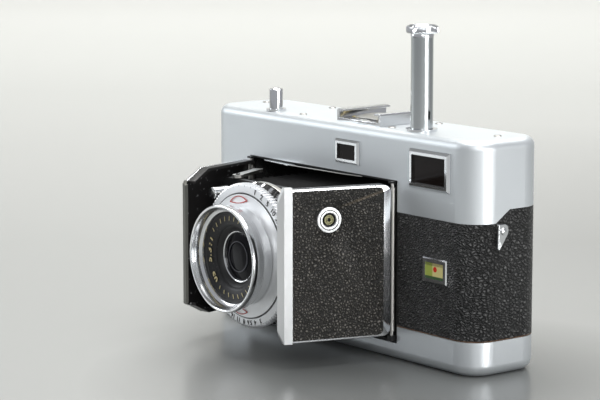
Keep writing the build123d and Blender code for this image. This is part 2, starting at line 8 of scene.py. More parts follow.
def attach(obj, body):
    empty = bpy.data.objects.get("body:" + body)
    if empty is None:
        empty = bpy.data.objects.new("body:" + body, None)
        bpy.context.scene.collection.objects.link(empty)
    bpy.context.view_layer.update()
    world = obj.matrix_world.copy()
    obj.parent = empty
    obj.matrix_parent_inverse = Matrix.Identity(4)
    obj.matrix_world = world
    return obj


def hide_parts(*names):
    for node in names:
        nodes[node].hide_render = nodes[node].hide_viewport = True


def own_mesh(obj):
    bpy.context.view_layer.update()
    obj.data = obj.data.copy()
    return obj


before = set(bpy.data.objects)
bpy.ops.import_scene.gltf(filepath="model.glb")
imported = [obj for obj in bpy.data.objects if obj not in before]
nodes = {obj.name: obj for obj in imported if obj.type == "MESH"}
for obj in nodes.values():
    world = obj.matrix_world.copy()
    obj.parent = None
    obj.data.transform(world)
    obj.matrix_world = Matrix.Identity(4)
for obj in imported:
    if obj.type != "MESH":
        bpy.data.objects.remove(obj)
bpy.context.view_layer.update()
mm = 0.001
print("frame loaded with", len(nodes), "nodes")

# camera

camLook = {"place": (0.57975, -0.48065, 0.16218), "azimuth": 52.02, "elevation": 8.838, "lens": 142.56}


def setCamera():
    a = math.radians(camLook["azimuth"])
    e = math.radians(camLook["elevation"])
    forward = Vector((-math.sin(a) * math.cos(e), math.cos(a) * math.cos(e), -math.sin(e)))
    right = forward.cross(Vector((0, 0, 1))).normalized()
    up = right.cross(forward)
    data = bpy.data.cameras.new("viewCamera")
    data.lens = camLook["lens"]
    data.sensor_width = 36
    data.clip_start = 0.01
    data.clip_end = 20
    cam = bpy.data.objects.new("viewCamera", data)
    spin = Matrix((right, up, -forward)).transposed().to_4x4()
    cam.matrix_world = Matrix.Translation(camLook["place"]) @ spin
    bpy.context.scene.collection.objects.link(cam)
    bpy.context.scene.camera = cam


setCamera()

# where things are, in millimetres; the doors' rest angle is in degrees

frontY = -14.5
lensX = -6.5
lensZ = 31.0
doorLook = {
    "rest": 16.5, "half": 37.5, "low": 8.1, "high": 55.3, "far": 33.7, "plate": 1.2, "lip": 4.1,
}


def lensPoint(radius, angle, behind):
    return (
        (lensX + radius * math.cos(angle)) * mm,
        (frontY + behind) * mm,
        (lensZ + radius * math.sin(angle)) * mm,
    )


def doorPoint(side, s, n, z):
    turn = math.radians(doorLook["rest"])
    x = lensX + side * (doorLook["half"] - s * math.sin(turn) + n * math.cos(turn))
    y = frontY - 1.0 - s * math.cos(turn) - n * math.sin(turn)
    return (x * mm, y * mm, z * mm)


# mesh helpers

def makeObject(name, verts, faces, material, sharp=30, merge=True):
    mesh = bpy.data.meshes.new(name)
    mesh.from_pydata([tuple(v) for v in verts], [], faces)
    bm = bmesh.new()
    bm.from_mesh(mesh)
    if merge:
        bmesh.ops.remove_doubles(bm, verts=bm.verts, dist=1e-6)
    bmesh.ops.recalc_face_normals(bm, faces=bm.faces)
    bm.to_mesh(mesh)
    bm.free()
    mesh.materials.append(material)
    mesh.shade_smooth()
    mesh.set_sharp_from_angle(angle=math.radians(sharp))
    obj = bpy.data.objects.new(name, mesh)
    bpy.context.scene.collection.objects.link(obj)
    return obj


def latheShape(point, profile, count, wobble=None):
    # point(radius, angle, along) gives a place; profile is a closed loop of (radius, along)
    verts = []
    faces = []
    rows = len(profile)
    for k in range(count):
        angle = 2 * math.pi * k / count
        for i, (r, h) in enumerate(profile):
            grow = wobble(k, i) if wobble else 0
            verts.append(point(max(r + grow, 0.0), angle, h))
    for k in range(count):
        n = (k + 1) % count
        for i in range(rows):
            j = (i + 1) % rows
            faces.append((k * rows + i, n * rows + i, n * rows + j, k * rows + j))
    return verts, faces


def tidyFaces(verts, faces):
    # drops the collapsed faces at a pole
    kept = []
    for face in faces:
        corners = []
        for index in face:
            if all((Vector(verts[index]) - Vector(verts[c])).length > 1e-7 for c in corners):
                corners.append(index)
        if len(corners) > 2:
            kept.append(tuple(corners))
    return kept


def latheObject(name, point, profile, material, count, wobble=None, sharp=30):
    verts, faces = latheShape(point, profile, count, wobble)
    return makeObject(name, verts, tidyFaces(verts, faces), material, sharp)


def turnOnLens(name, profile, material, count=144, wobble=None, sharp=30):
    return latheObject(name, lensPoint, profile, material, count, wobble, sharp)


def turnUpright(name, x, y, profile, material, count=96, wobble=None, sharp=30):
    def place(radius, angle, along):
        return ((x + radius * math.cos(angle)) * mm, (y + radius * math.sin(angle)) * mm, along * mm)

    return latheObject(name, place, profile, material, count, wobble, sharp)


def slabOf(name, outline, place, low, high, material, bevel=0.0, sharp=30):
    # outline is a list of (u, v), place(u, v, h) gives the point
    count = len(outline)
    verts = [place(u, v, low) for u, v in outline] + [place(u, v, high) for u, v in outline]
    faces = [tuple(range(count)), tuple(range(2 * count - 1, count - 1, -1))]
    for i in range(count):
        j = (i + 1) % count
        faces.append((i, i + count, j + count, j))
    obj = makeObject(name, verts, faces, material, sharp)
    if bevel:
        softenEdges(obj, bevel)
    return obj


def softenEdges(obj, width, segments=2, angle=40):
    mod = obj.modifiers.new("soft", "BEVEL")
    mod.width = width * mm
    mod.segments = segments
    mod.limit_method = "ANGLE"
    mod.angle_limit = math.radians(angle)
    mod.harden_normals = True
    bakeModifiers(obj)


def bakeModifiers(obj):
    bpy.context.view_layer.update()
    deps = bpy.context.evaluated_depsgraph_get()
    mesh = bpy.data.meshes.new_from_object(obj.evaluated_get(deps))
    obj.modifiers.clear()
    obj.data = mesh


def carve(piece, tool):
    mod = piece.modifiers.new("hole", "BOOLEAN")
    mod.operation = "DIFFERENCE"
    mod.object = tool
    bakeModifiers(piece)
    bpy.data.objects.remove(tool)


def roundedOutline(low, high, radii, steps=6):
    # radii go round from the low-low corner
    (u0, v0), (u1, v1) = low, high
    corners = (
        (u0, v0, 1, 1, 180), (u1, v0, -1, 1, 270), (u1, v1, -1, -1, 0), (u0, v1, 1, -1, 90),
    )
    points = []
    for (u, v, du, dv, start), r in zip(corners, radii):
        if r <= 0:
            points.append((u, v))
            continue
        for k in range(steps + 1):
            a = math.radians(start + 90 * k / steps)
            points.append((u + du * r + r * math.cos(a), v + dv * r + r * math.sin(a)))
    return points


def joinObjects(first, others):
    bm = bmesh.new()
    slots = []
    for obj in [first] + others:
        offset = {}
        for k, mat in enumerate(obj.data.materials):
            if mat not in slots:
                slots.append(mat)
            offset[k] = slots.index(mat)
        part = bmesh.new()
        part.from_mesh(obj.data)
        for face in part.faces:
            face.material_index = offset.get(face.material_index, 0)
        temp = bpy.data.meshes.new("temp")
        part.to_mesh(temp)
        part.free()
        bm.from_mesh(temp)
        bpy.data.meshes.remove(temp)
    mesh = bpy.data.meshes.new(first.name)
    bm.to_mesh(mesh)
    bm.free()
    for mat in slots:
        mesh.materials.append(mat)
    first.data = mesh
    mesh.shade_smooth()
    mesh.set_sharp_from_angle(angle=math.radians(30))
    for obj in others:
        bpy.data.objects.remove(obj)
    return first


# node helpers

def addNode(tree, kind, values=None, **settings):
    node = tree.nodes.new(kind)
    for key, value in settings.items():
        setattr(node, key, value)
    for key, value in (values or {}).items():
        node.inputs[key].default_value = value
    return node


def mathNode(tree, operation, first, second, clamp=False):
    node = addNode(tree, "ShaderNodeMath", operation=operation, use_clamp=clamp)
    for index, item in enumerate((first, second)):
        if item is None:
            continue
        if isinstance(item, (int, float)):
            node.inputs[index].default_value = item
        else:
            tree.links.new(item, node.inputs[index])
    return node.outputs[0]


def times(tree, first, second, clamp=False):
    return mathNode(tree, "MULTIPLY", first, second, clamp)


def plus(tree, first, second, clamp=False):
    return mathNode(tree, "ADD", first, second, clamp)


def minus(tree, first, second, clamp=False):
    return mathNode(tree, "SUBTRACT", first, second, clamp)


def noiseAt(tree, coords, scale, detail):
    node = addNode(tree, "ShaderNodeTexNoise", {"Scale": scale, "Detail": detail})
    tree.links.new(coords, node.inputs["Vector"])
    return node.outputs["Fac"]


def rampNode(tree, source, stops):
    ramp = addNode(tree, "ShaderNodeValToRGB")
    tree.links.new(source, ramp.inputs[0])
    elements = ramp.color_ramp.elements
    while len(elements) < len(stops):
        elements.new(0.5)
    for element, (place, colour) in zip(elements, stops):
        element.position = place
        element.color = (*colour, 1) if len(colour) == 3 else colour
    return ramp.outputs[0]


def mixColour(tree, factor, first, second):
    node = addNode(tree, "ShaderNodeMix", data_type="RGBA")
    for socket, item in ((node.inputs[0], factor), (node.inputs[6], first), (node.inputs[7], second)):
        if isinstance(item, (int, float)):
            socket.default_value = item
        elif isinstance(item, tuple):
            socket.default_value = (*item, 1)
        else:
            tree.links.new(item, socket)
    return node.outputs[2]


def newGroup(name, inputs, outputs):
    group = bpy.data.node_groups.new(name, "ShaderNodeTree")
    for label, kind, value in inputs:
        socket = group.interface.new_socket(label, in_out="INPUT", socket_type=kind)
        if value is not None:
            socket.default_value = value
    for label, kind in outputs:
        group.interface.new_socket(label, in_out="OUTPUT", socket_type=kind)
    start = group.nodes.new("NodeGroupInput")
    end = group.nodes.new("NodeGroupOutput")
    return group, start, end


def makePebbleGrain():
    # distorted cells with a rounded top and a fine crease between them
    group, start, end = newGroup(
        "pebbleGrain",
        (("Vector", "NodeSocketVector", None), ("Cell", "NodeSocketFloat", 0.9),
         ("Wander", "NodeSocketFloat", 0.4), ("Stretch", "NodeSocketFloat", 1.0)),
        (("Height", "NodeSocketFloat"), ("Crease", "NodeSocketFloat"), ("Patch", "NodeSocketFloat")),
    )
    tree = group
    perCell = mathNode(tree, "DIVIDE", 1000.0, start.outputs["Cell"])
    scaled = addNode(tree, "ShaderNodeVectorMath", operation="SCALE")
    tree.links.new(start.outputs["Vector"], scaled.inputs[0])
    tree.links.new(perCell, scaled.inputs["Scale"])
    squeeze = addNode(tree, "ShaderNodeCombineXYZ", {0: 1.0, 1: 1.0})
    tree.links.new(start.outputs["Stretch"], squeeze.inputs[2])
    longer = addNode(tree, "ShaderNodeVectorMath", operation="MULTIPLY")
    tree.links.new(scaled.outputs[0], longer.inputs[0])
    tree.links.new(squeeze.outputs[0], longer.inputs[1])
    drift = addNode(tree, "ShaderNodeTexNoise", {"Scale": 0.8, "Detail": 2.0})
    tree.links.new(longer.outputs[0], drift.inputs["Vector"])
    push = addNode(tree, "ShaderNodeVectorMath", operation="SCALE")
    tree.links.new(drift.outputs["Color"], push.inputs[0])
    tree.links.new(start.outputs["Wander"], push.inputs["Scale"])
    moved = addNode(tree, "ShaderNodeVectorMath", operation="ADD")
    tree.links.new(longer.outputs[0], moved.inputs[0])
    tree.links.new(push.outputs[0], moved.inputs[1])
    cells = addNode(tree, "ShaderNodeTexVoronoi", {"Scale": 1.0}, feature="DISTANCE_TO_EDGE")
    tree.links.new(moved.outputs[0], cells.inputs["Vector"])
    fine = addNode(tree, "ShaderNodeTexNoise", {"Scale": 2.6, "Detail": 4.0, "Roughness": 0.6})
    tree.links.new(moved.outputs[0], fine.inputs["Vector"])
    rounded = mathNode(tree, "POWER", times(tree, cells.outputs["Distance"], 2.2, True), 0.55)
    height = plus(tree, times(tree, rounded, 0.75), times(tree, fine.outputs["Fac"], 0.35))
    # the crease mask carries the painted shade between the pebbles
    crease = minus(tree, 1.0, times(tree, cells.outputs["Distance"], 6.0, True), True)
    patch = addNode(tree, "ShaderNodeTexNoise", {"Scale": 0.09, "Detail": 3.0})
    tree.links.new(longer.outputs[0], patch.inputs["Vector"])
    tree.links.new(height, end.inputs["Height"])
    tree.links.new(crease, end.inputs["Crease"])
    tree.links.new(patch.outputs["Fac"], end.inputs["Patch"])
    return group


def makeMetalWear():
    # handling marks: broad smudges, hair scratches and dust specks
    group, start, end = newGroup(
        "metalWear",
        (("Vector", "NodeSocketVector", None), ("Smooth", "NodeSocketFloat", 0.2),
         ("Range", "NodeSocketFloat", 0.15), ("Specks", "NodeSocketFloat", 0.3)),
        (("Roughness", "NodeSocketFloat"), ("Height", "NodeSocketFloat"), ("Dust", "NodeSocketFloat")),
    )
    tree = group
    smudge = addNode(tree, "ShaderNodeTexNoise", {"Scale": 60.0, "Detail": 5.0, "Roughness": 0.6})
    stretch = addNode(
        tree, "ShaderNodeMapping", {"Scale": (900.0, 260.0, 3200.0), "Rotation": (0.2, 0.1, 0.35)},
    )
    scratch = addNode(tree, "ShaderNodeTexNoise", {"Scale": 1.0, "Detail": 3.0, "Roughness": 0.7})
    speck = addNode(tree, "ShaderNodeTexNoise", {"Scale": 2600.0, "Detail": 1.0})
    area = addNode(tree, "ShaderNodeTexNoise", {"Scale": 120.0, "Detail": 2.0})
    for node in (smudge, stretch, speck, area):
        tree.links.new(start.outputs["Vector"], node.inputs["Vector"])
    tree.links.new(stretch.outputs[0], scratch.inputs["Vector"])
    spread = times(tree, minus(tree, smudge.outputs["Fac"], 0.5), start.outputs["Range"])
    tree.links.new(plus(tree, start.outputs["Smooth"], spread, True), end.inputs["Roughness"])
    tree.links.new(scratch.outputs["Fac"], end.inputs["Height"])
    dots = times(tree, minus(tree, speck.outputs["Fac"], 0.68), 9.0, True)
    where = times(tree, dots, area.outputs["Fac"], True)
    tree.links.new(times(tree, where, start.outputs["Specks"], True), end.inputs["Dust"])
    return group


pebbleGrain = makePebbleGrain()
metalWear = makeMetalWear()


def startMaterial(name, **fixed):
    mat = bpy.data.materials.new(name)
    mat.use_nodes = True
    tree = mat.node_tree
    bsdf = tree.nodes["Principled BSDF"]
    for key, value in fixed.items():
        bsdf.inputs[key.replace("_", " ")].default_value = value
    coords = addNode(tree, "ShaderNodeTexCoord").outputs["Object"]
    return mat, tree, bsdf, coords


def addBump(tree, bsdf, height, strength, distance):
    bump = addNode(tree, "ShaderNodeBump", {"Strength": strength, "Distance": distance * mm})
    tree.links.new(height, bump.inputs["Height"])
    tree.links.new(bump.outputs[0], bsdf.inputs["Normal"])


def metalMaterial(name, colour, smooth, spread, specks, bump=0.08, metallic=1.0, tint=0.9, distance=0.02):
    mat, tree, bsdf, coords = startMaterial(name, Metallic=metallic)
    wear = addNode(tree, "ShaderNodeGroup", node_tree=metalWear)
    wear.inputs["Smooth"].default_value = smooth
    wear.inputs["Range"].default_value = spread
    wear.inputs["Specks"].default_value = specks
    tree.links.new(coords, wear.inputs["Vector"])
    tone = noiseAt(tree, coords, 35.0, 3.0)
    shade = tuple(c * tint for c in colour)
    base = mixColour(tree, tone, shade, colour)
    dusty = mixColour(tree, wear.outputs["Dust"], base, (0.55, 0.53, 0.49))
    tree.links.new(dusty, bsdf.inputs["Base Color"])
    tree.links.new(wear.outputs["Roughness"], bsdf.inputs["Roughness"])
    addBump(tree, bsdf, wear.outputs["Height"], bump, distance)
    return mat


def leatherMaterial(name, dark, light, cell, strength, roughness, stretch=1.0, scuff=False,
                    distance=0.16, paintedShine=0.6, rawEdge=None):
    mat, tree, bsdf, coords = startMaterial(name)
    turn = addNode(tree, "ShaderNodeMapping", {"Rotation": (0.15, 0.3, 0.5)})
    tree.links.new(coords, turn.inputs["Vector"])
    grain = addNode(tree, "ShaderNodeGroup", node_tree=pebbleGrain)
    grain.inputs["Cell"].default_value = cell
    grain.inputs["Stretch"].default_value = stretch
    grain.inputs["Wander"].default_value = 0.9
    tree.links.new(turn.outputs[0], grain.inputs["Vector"])
    mixed = mixColour(tree, grain.outputs["Patch"], dark, light)
    # painted highlight: the pebble tops are coloured up to six and a half times the light tone
    highlightRidge = times(tree, minus(tree, grain.outputs["Height"], 0.66), 4.5, True)
    paintedHighlight = mixColour(tree, times(tree, highlightRidge, paintedShine), mixed, tuple(c * 6.5 for c in light))
    # painted shade: the creases between the pebbles are darkened nearly to black
    colour = mixColour(tree, times(tree, grain.outputs["Crease"], 0.8), paintedHighlight, (0.004, 0.004, 0.004))
    rough = plus(tree, times(tree, grain.outputs["Patch"], 0.16), roughness)
    if rawEdge:
        # the cut edge of the leather shows brown along its foot
        height = addNode(tree, "ShaderNodeSeparateXYZ")
        tree.links.new(coords, height.inputs[0])
        foot = times(tree, minus(tree, rawEdge * mm, height.outputs["Z"]), 9000.0, True)
        colour = mixColour(tree, foot, colour, (0.20, 0.10, 0.045))
    if scuff:
        # a rubbed line runs down from the upper outer corner
        split = addNode(tree, "ShaderNodeSeparateXYZ")
        tree.links.new(coords, split.inputs[0])
        line = plus(tree, times(tree, split.outputs["Y"], -0.30), split.outputs["Z"])
        off = mathNode(tree, "ABSOLUTE", minus(tree, line, 0.0592), None)
        band = minus(tree, 1.0, times(tree, off, 1700.0), True)
        ragged = noiseAt(tree, coords, 420.0, 4.0)
        near = times(tree, minus(tree, -0.017, split.outputs["Y"]), 220.0, True)
        far = times(tree, plus(tree, split.outputs["Y"], 0.034), 140.0, True)
        mask = times(tree, times(tree, band, times(tree, near, far)), ragged, True)
        colour = mixColour(tree, mask, colour, (0.30, 0.24, 0.17))
    tree.links.new(colour, bsdf.inputs["Base Color"])
    tree.links.new(rough, bsdf.inputs["Roughness"])
    addBump(tree, bsdf, grain.outputs["Height"], strength, distance)
    return mat


def paintMaterial(name, colour, roughness, metallic=0.0):
    mat, tree, bsdf, coords = startMaterial(name, Metallic=metallic)
    mottle = noiseAt(tree, coords, 900.0, 3.0)
    shade = tuple(c * 0.75 for c in colour)
    tree.links.new(mixColour(tree, mottle, shade, colour), bsdf.inputs["Base Color"])
    tree.links.new(plus(tree, times(tree, mottle, 0.2), roughness), bsdf.inputs["Roughness"])
    addBump(tree, bsdf, mottle, 0.1, 0.02)
    return mat


def glassMaterial(name, colour, roughness, transmission, coat=1.0):
    mat, tree, bsdf, coords = startMaterial(
        name, Metallic=0.0, Transmission_Weight=transmission, IOR=1.5, Coat_Weight=coat,
        Coat_Roughness=0.02, Specular_IOR_Level=0.12,
    )
    smear = noiseAt(tree, coords, 90.0, 3.0)
    shade = tuple(c * 0.8 for c in colour)
    tree.links.new(mixColour(tree, smear, shade, colour), bsdf.inputs["Base Color"])
    tree.links.new(plus(tree, times(tree, smear, 0.04), roughness), bsdf.inputs["Roughness"])
    return mat


def doorMaterial(name, side, chrome):
    # plated on the outer face and rim, black enamel inside the tray
    mat, tree, bsdf, coords = startMaterial(name)
    turn = math.radians(doorLook["rest"])
    hinge = doorPoint(side, 0, 0, 0)
    normal = (side * math.cos(turn), -math.sin(turn), 0)
    shift = addNode(tree, "ShaderNodeVectorMath", operation="SUBTRACT")
    shift.inputs[1].default_value = hinge
    tree.links.new(coords, shift.inputs[0])
    across = addNode(tree, "ShaderNodeVectorMath", operation="DOT_PRODUCT")
    across.inputs[1].default_value = normal
    tree.links.new(shift.outputs[0], across.inputs[0])
    inner = times(tree, minus(tree, -0.00105, across.outputs["Value"]), 20000.0, True)
    chips = noiseAt(tree, coords, 700.0, 4.0)
    worn = times(tree, minus(tree, chips, 0.64), 12.0, True)
    black = minus(tree, inner, times(tree, worn, 0.6), True)
    tree.links.new(mixColour(tree, black, chrome, (0.014, 0.013, 0.013)), bsdf.inputs["Base Color"])
    tree.links.new(minus(tree, 1.0, black, True), bsdf.inputs["Metallic"])
    wear = addNode(tree, "ShaderNodeGroup", node_tree=metalWear)
    wear.inputs["Smooth"].default_value = 0.2
    wear.inputs["Range"].default_value = 0.2
    tree.links.new(coords, wear.inputs["Vector"])
    rough = plus(tree, wear.outputs["Roughness"], times(tree, black, 0.2), True)
    tree.links.new(rough, bsdf.inputs["Roughness"])
    addBump(tree, bsdf, wear.outputs["Height"], 0.1, 0.02)
    return mat


def dialMaterial():
    # film reminder: green and yellow fields with a red spot and dark ticks
    mat, tree, bsdf, coords = startMaterial("dialEnamel", Coat_Weight=0.6)
    split = addNode(tree, "ShaderNodeSeparateXYZ")
    tree.links.new(coords, split.inputs[0])
    side = times(tree, minus(tree, split.outputs["X"], 0.0478), 2500.0, True)
    field = mixColour(tree, side, (0.42, 0.50, 0.10), (0.78, 0.70, 0.30))
    low = times(tree, minus(tree, 0.0292, split.outputs["Z"]), 6000.0, True)
    base = mixColour(tree, low, field, (0.06, 0.12, 0.05))
    spot = addNode(tree, "ShaderNodeVectorMath", operation="DISTANCE")
    flat = addNode(tree, "ShaderNodeCombineXYZ")
    tree.links.new(split.outputs["X"], flat.inputs[0])
    tree.links.new(split.outputs["Z"], flat.inputs[2])
    tree.links.new(flat.outputs[0], spot.inputs[0])
    spot.inputs[1].default_value = (0.0492, 0, 0.0313)
    red = times(tree, minus(tree, 0.0009, spot.outputs["Value"]), 9000.0, True)
    comb = addNode(tree, "ShaderNodeTexWave", {"Scale": 900.0, "Distortion": 4.0}, bands_direction="X")
    tree.links.new(coords, comb.inputs["Vector"])
    high = times(tree, minus(tree, split.outputs["Z"], 0.0322), 6000.0, True)
    tick = times(tree, mathNode(tree, "GREATER_THAN", comb.outputs["Fac"], 0.6), high, True)
    marked = mixColour(tree, tick, base, (0.05, 0.05, 0.04))
    tree.links.new(mixColour(tree, red, marked, (0.7, 0.04, 0.02)), bsdf.inputs["Base Color"])
    bsdf.inputs["Roughness"].default_value = 0.25
    return mat


# metals: colour, roughness, its spread, dust, bump, metallic, darkest tone
satinChrome = metalMaterial("satinChrome", (0.72, 0.755, 0.775), 0.45, 0.14, 0.25, 0.12, 0.78, 0.95)
brightChrome = metalMaterial("brightChrome", (0.86, 0.875, 0.89), 0.10, 0.12, 0.35, 0.04)
ringChrome = metalMaterial("ringChrome", (0.82, 0.83, 0.84), 0.17, 0.16, 0.5, 0.06)
dullSteel = metalMaterial("dullSteel", (0.55, 0.54, 0.51), 0.32, 0.2, 0.6, 0.1)
edgeSteel = metalMaterial("edgeSteel", (0.17, 0.17, 0.155), 0.35, 0.1, 0.3, 0.08)
rodSteel = metalMaterial("rodSteel", (0.60, 0.63, 0.64), 0.2, 0.1, 0.3, 0.06)
ringSilver = metalMaterial("ringSilver", (0.74, 0.75, 0.75), 0.42, 0.1, 0.2, 0.05, 0.75)
noseChrome = metalMaterial("noseChrome", (0.95, 0.96, 0.965), 0.34, 0.1, 0.4, 0.06)
faceSilver = metalMaterial("faceSilver", (0.82, 0.835, 0.85), 0.42, 0.1, 0.3, 0.08, 0.6)
oliveBrass = metalMaterial("oliveBrass", (0.13, 0.125, 0.07), 0.4, 0.1, 0.3, 0.1)
agedBrass = metalMaterial("agedBrass", (0.60, 0.50, 0.26), 0.3, 0.2, 0.5, 0.1)
darkBlade = metalMaterial("darkBlade", (0.10, 0.10, 0.11), 0.35, 0.1, 0.1, 0.05)
blackEnamel = metalMaterial("blackEnamel", (0.009, 0.009, 0.009), 0.5, 0.2, 0.5, 0.15, 0.0)
blackAnodised = metalMaterial("blackAnodised", (0.012, 0.012, 0.013), 0.42, 0.15, 0.4, 0.1, 0.2)
# leathers: dark and light tone, size of a pebble in millimetres, bump, roughness
crackleBlack = leatherMaterial("crackleBlack", (0.02, 0.02, 0.02), (0.03, 0.03, 0.03), 0.5, 0.4, 0.5)
bodyLeather = leatherMaterial(
    "bodyLeather", (0.006, 0.006, 0.006), (0.020, 0.020, 0.0195), 1.3, 1.0, 0.24,
    stretch=1.5, distance=0.9, paintedShine=1.0, rawEdge=11.15,
)
doorLeather = leatherMaterial(
    "doorLeather", (0.024, 0.0225, 0.019), (0.044, 0.041, 0.036), 0.85, 1.0, 0.26,
    scuff=True, distance=0.55, paintedShine=0.62,
)
bellowsCloth = paintMaterial("bellowsCloth", (0.006, 0.006, 0.006), 0.75)
spoolPlastic = paintMaterial("spoolPlastic", (0.02, 0.02, 0.02), 0.4)
goldPaint = paintMaterial("goldPaint", (0.80, 0.68, 0.36), 0.4, 0.0)
blackPaint = paintMaterial("blackPaint", (0.012, 0.012, 0.012), 0.4)
redPaint = paintMaterial("redPaint", (0.55, 0.035, 0.02), 0.4)
innerBlack = paintMaterial("innerBlack", (0.006, 0.006, 0.006), 0.35)
lensGlass = glassMaterial("lensGlass", (0.006, 0.006, 0.008), 0.05, 0.0, 0.0)
windowGlass = glassMaterial("windowGlass", (0.010, 0.007, 0.006), 0.08, 0.0, 0.0)
chromeTone = (0.84, 0.85, 0.87)
doorMetalLeft = doorMaterial("doorMetalLeft", -1, chromeTone)
doorMetalRight = doorMaterial("doorMetalRight", 1, chromeTone)
dialEnamel = dialMaterial()
print("materials made")

finishOf = {
    "main_chassis": crackleBlack, "top_cover": satinChrome, "back_cover": satinChrome,
    "leather_front_left": bodyLeather, "leather_front_right": bodyLeather, "back_leather": bodyLeather,
    "opening_bezel": blackEnamel, "hinge_pins": dullSteel, "viewfinder_frame": brightChrome,
    "viewfinder_glass": windowGlass, "rangefinder_frame": brightChrome, "rangefinder_glass": windowGlass,
    "reminder_frame": brightChrome, "reminder_dial": dialEnamel, "eyepiece_ring": brightChrome,
    "eyepiece_glass": windowGlass, "accessory_shoe": ringChrome, "shoe_spring": dullSteel,
    "shoe_screws": agedBrass, "top_screws": dullSteel, "plunger_bush": brightChrome,
    "release_collar": brightChrome, "strap_lug_left": brightChrome, "strap_lug_right": brightChrome,
    "bellows": bellowsCloth, "standard_plate": blackEnamel, "shutter_housing": blackAnodised,
    "shutter_face": faceSilver, "lens_barrel": blackAnodised, "filter_ring": ringChrome,
    "scale_ring": blackAnodised, "front_lens": lensGlass, "rear_lens": lensGlass,
    "shutter_blades": darkBlade, "speed_ring": faceSilver, "aperture_ring": blackAnodised,
    "cocking_lever": brightChrome, "door_left_shell": doorMetalLeft, "door_right_shell": doorMetalRight,
    "door_left_leather": doorLeather, "door_right_leather": doorLeather, "door_left_nose": ringChrome,
    "door_right_nose": ringChrome, "sync_socket": brightChrome, "strut_left": dullSteel,
    "strut_right": dullSteel, "plunger_rod": rodSteel, "plunger_cap": brightChrome,
    "release_button": brightChrome, "focus_wheel": brightChrome, "tripod_socket": dullSteel,
    "pressure_plate": blackEnamel, "lock_key": ringChrome, "rewind_knob": ringChrome,
    "take_up_spool": spoolPlastic,
}
for nodeName, finish in finishOf.items():
    mesh = nodes[nodeName].data
    mesh.materials.clear()
    mesh.materials.append(finish)


def settle(obj, body, slotName, *replaced):
    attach(obj, body)
    if replaced:
        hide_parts(*replaced)
    return obj


# lens and shutter

ringLook = {"segments": 160, "teeth": 112, "toothDepth": 0.62}
knurlLook = {
    "rows": ((-27.0, -26.05), (-26.0, -25.05), (-25.0, -24.02)), "pyramids": 96,
    "foot": 22.2, "peak": 22.75,
}
leverLook = {"angle": 140, "reach": 26.6, "pad": 2.0}
figureLook = {
    # angles in degrees, read against the clock
    "lens": ((158, "1"), (167, ":"), (176, "3"), (184, "."), (191, "5"), (214, "5"), (223, "0")),
    "speeds": ("1", "2", "5", "10", "25", "50", "100", "300"), "speedFrom": 76, "speedStep": 9.5,
    "stops": ("3", "4", "5.6", "8", "11", "16"), "stopFrom": 292, "stopStep": 8,
}
markLook = {"radius": 17.7, "half": 4.7, "tall": 1.5, "line": 0.7, "top": 98, "low": 262}


def makeLens():
    ring = turnOnLens("filterRing", [
        (14.35, -31.0), (15.2, -31.0), (15.35, -31.2), (15.4, -33.9), (15.6, -34.3), (16.2, -34.9),
        (16.3, -35.2), (16.3, -36.9), (16.45, -37.2), (16.8, -37.6), (16.9, -37.9), (16.9, -39.1),
        (16.78, -39.42), (16.5, -39.6), (16.25, -39.6), (16.0, -39.42), (15.75, -38.5), (15.45, -37.9),
        (15.35, -36.9), (15.0, -36.5), (14.5, -36.2), (14.35, -35.6),
    ], ringChrome, ringLook["segments"])
    settle(ring, "lens_board", "polished_chrome", "filter_ring")
    scale = turnOnLens("scaleRing", [
        (9.75, -33.5), (14.3, -33.5), (14.3, -35.5), (14.1, -35.6), (13.7, -35.5), (13.5, -35.25),
        (13.3, -35.2), (10.6, -34.75), (10.2, -34.6), (9.75, -34.1),
    ], blackAnodised, 128)
    settle(scale, "lens_board", "black_anodised", "scale_ring")
    cone = turnOnLens("innerCone", [
        (9.72, -34.0), (9.45, -33.9), (8.2, -32.6), (8.0, -32.2), (8.2, -32.0), (9.72, -32.6),
    ], innerBlack, 96)
    settle(cone, "lens_board", "black_anodised")
    rim = turnOnLens("glassRim", [
        (7.95, -32.25), (8.15, -32.5), (8.0, -32.75), (7.7, -32.6), (7.6, -32.2), (7.7, -32.0),
    ], ringChrome, 96)
    settle(rim, "lens_board", "polished_chrome")
    dome = []
    for k in range(13):
        r = 7.75 * k / 12
        dome.append((r, -33.0 + 0.9 * (r / 7.75) ** 2))
    glass = turnOnLens("frontGlass", dome + [(7.75, -31.6), (0, -31.6)], lensGlass, 96)
    settle(glass, "lens_board", "glass", "front_lens")
    # a smaller bright ring deep in the glass
    deep = turnOnLens("irisRim", [(4.6, -33.02), (4.85, -33.02), (4.9, -32.6), (4.6, -32.6)], darkBlade, 72)
    settle(deep, "lens_board", "blade_steel")


def makeShutter():
    face = turnOnLens("shutterFace", [
        (13.05, -28.7), (19.3, -28.7), (19.55, -28.9), (19.55, -30.3), (19.4, -30.55), (19.1, -30.6),
        (16.6, -30.75), (16.2, -30.9), (13.3, -30.9), (13.05, -30.6),
    ], faceSilver, 144)
    settle(face, "lens_board", "polished_chrome", "shutter_face")
    count = ringLook["teeth"] * 4
    profile = [
        (19.75, -27.35), (22.3, -27.35), (22.75, -27.6), (22.8, -28.0), (22.8, -29.3), (22.6, -29.7),
        (22.0, -30.0), (19.9, -30.25), (19.75, -30.1),
    ]
    cut = ringLook["toothDepth"]

    def tooth(k, i):
        if i not in (1, 2, 3, 4, 5):
            return 0
        return -cut if k % 4 in (1, 2) else 0

    rim = turnOnLens("speedRing", profile, faceSilver, count, tooth, 25)
    settle(rim, "speed_ring", "polished_chrome", "speed_ring")
    shell = turnOnLens("shutterDrum", [
        (12.1, -19.05), (21.0, -19.05), (21.35, -19.3), (21.4, -20.0), (21.4, -26.9), (21.2, -27.15),
        (19.4, -27.2), (19.4, -28.6), (12.1, -28.6),
    ], blackAnodised, 128)
    settle(shell, "lens_board", "steel", "shutter_housing")


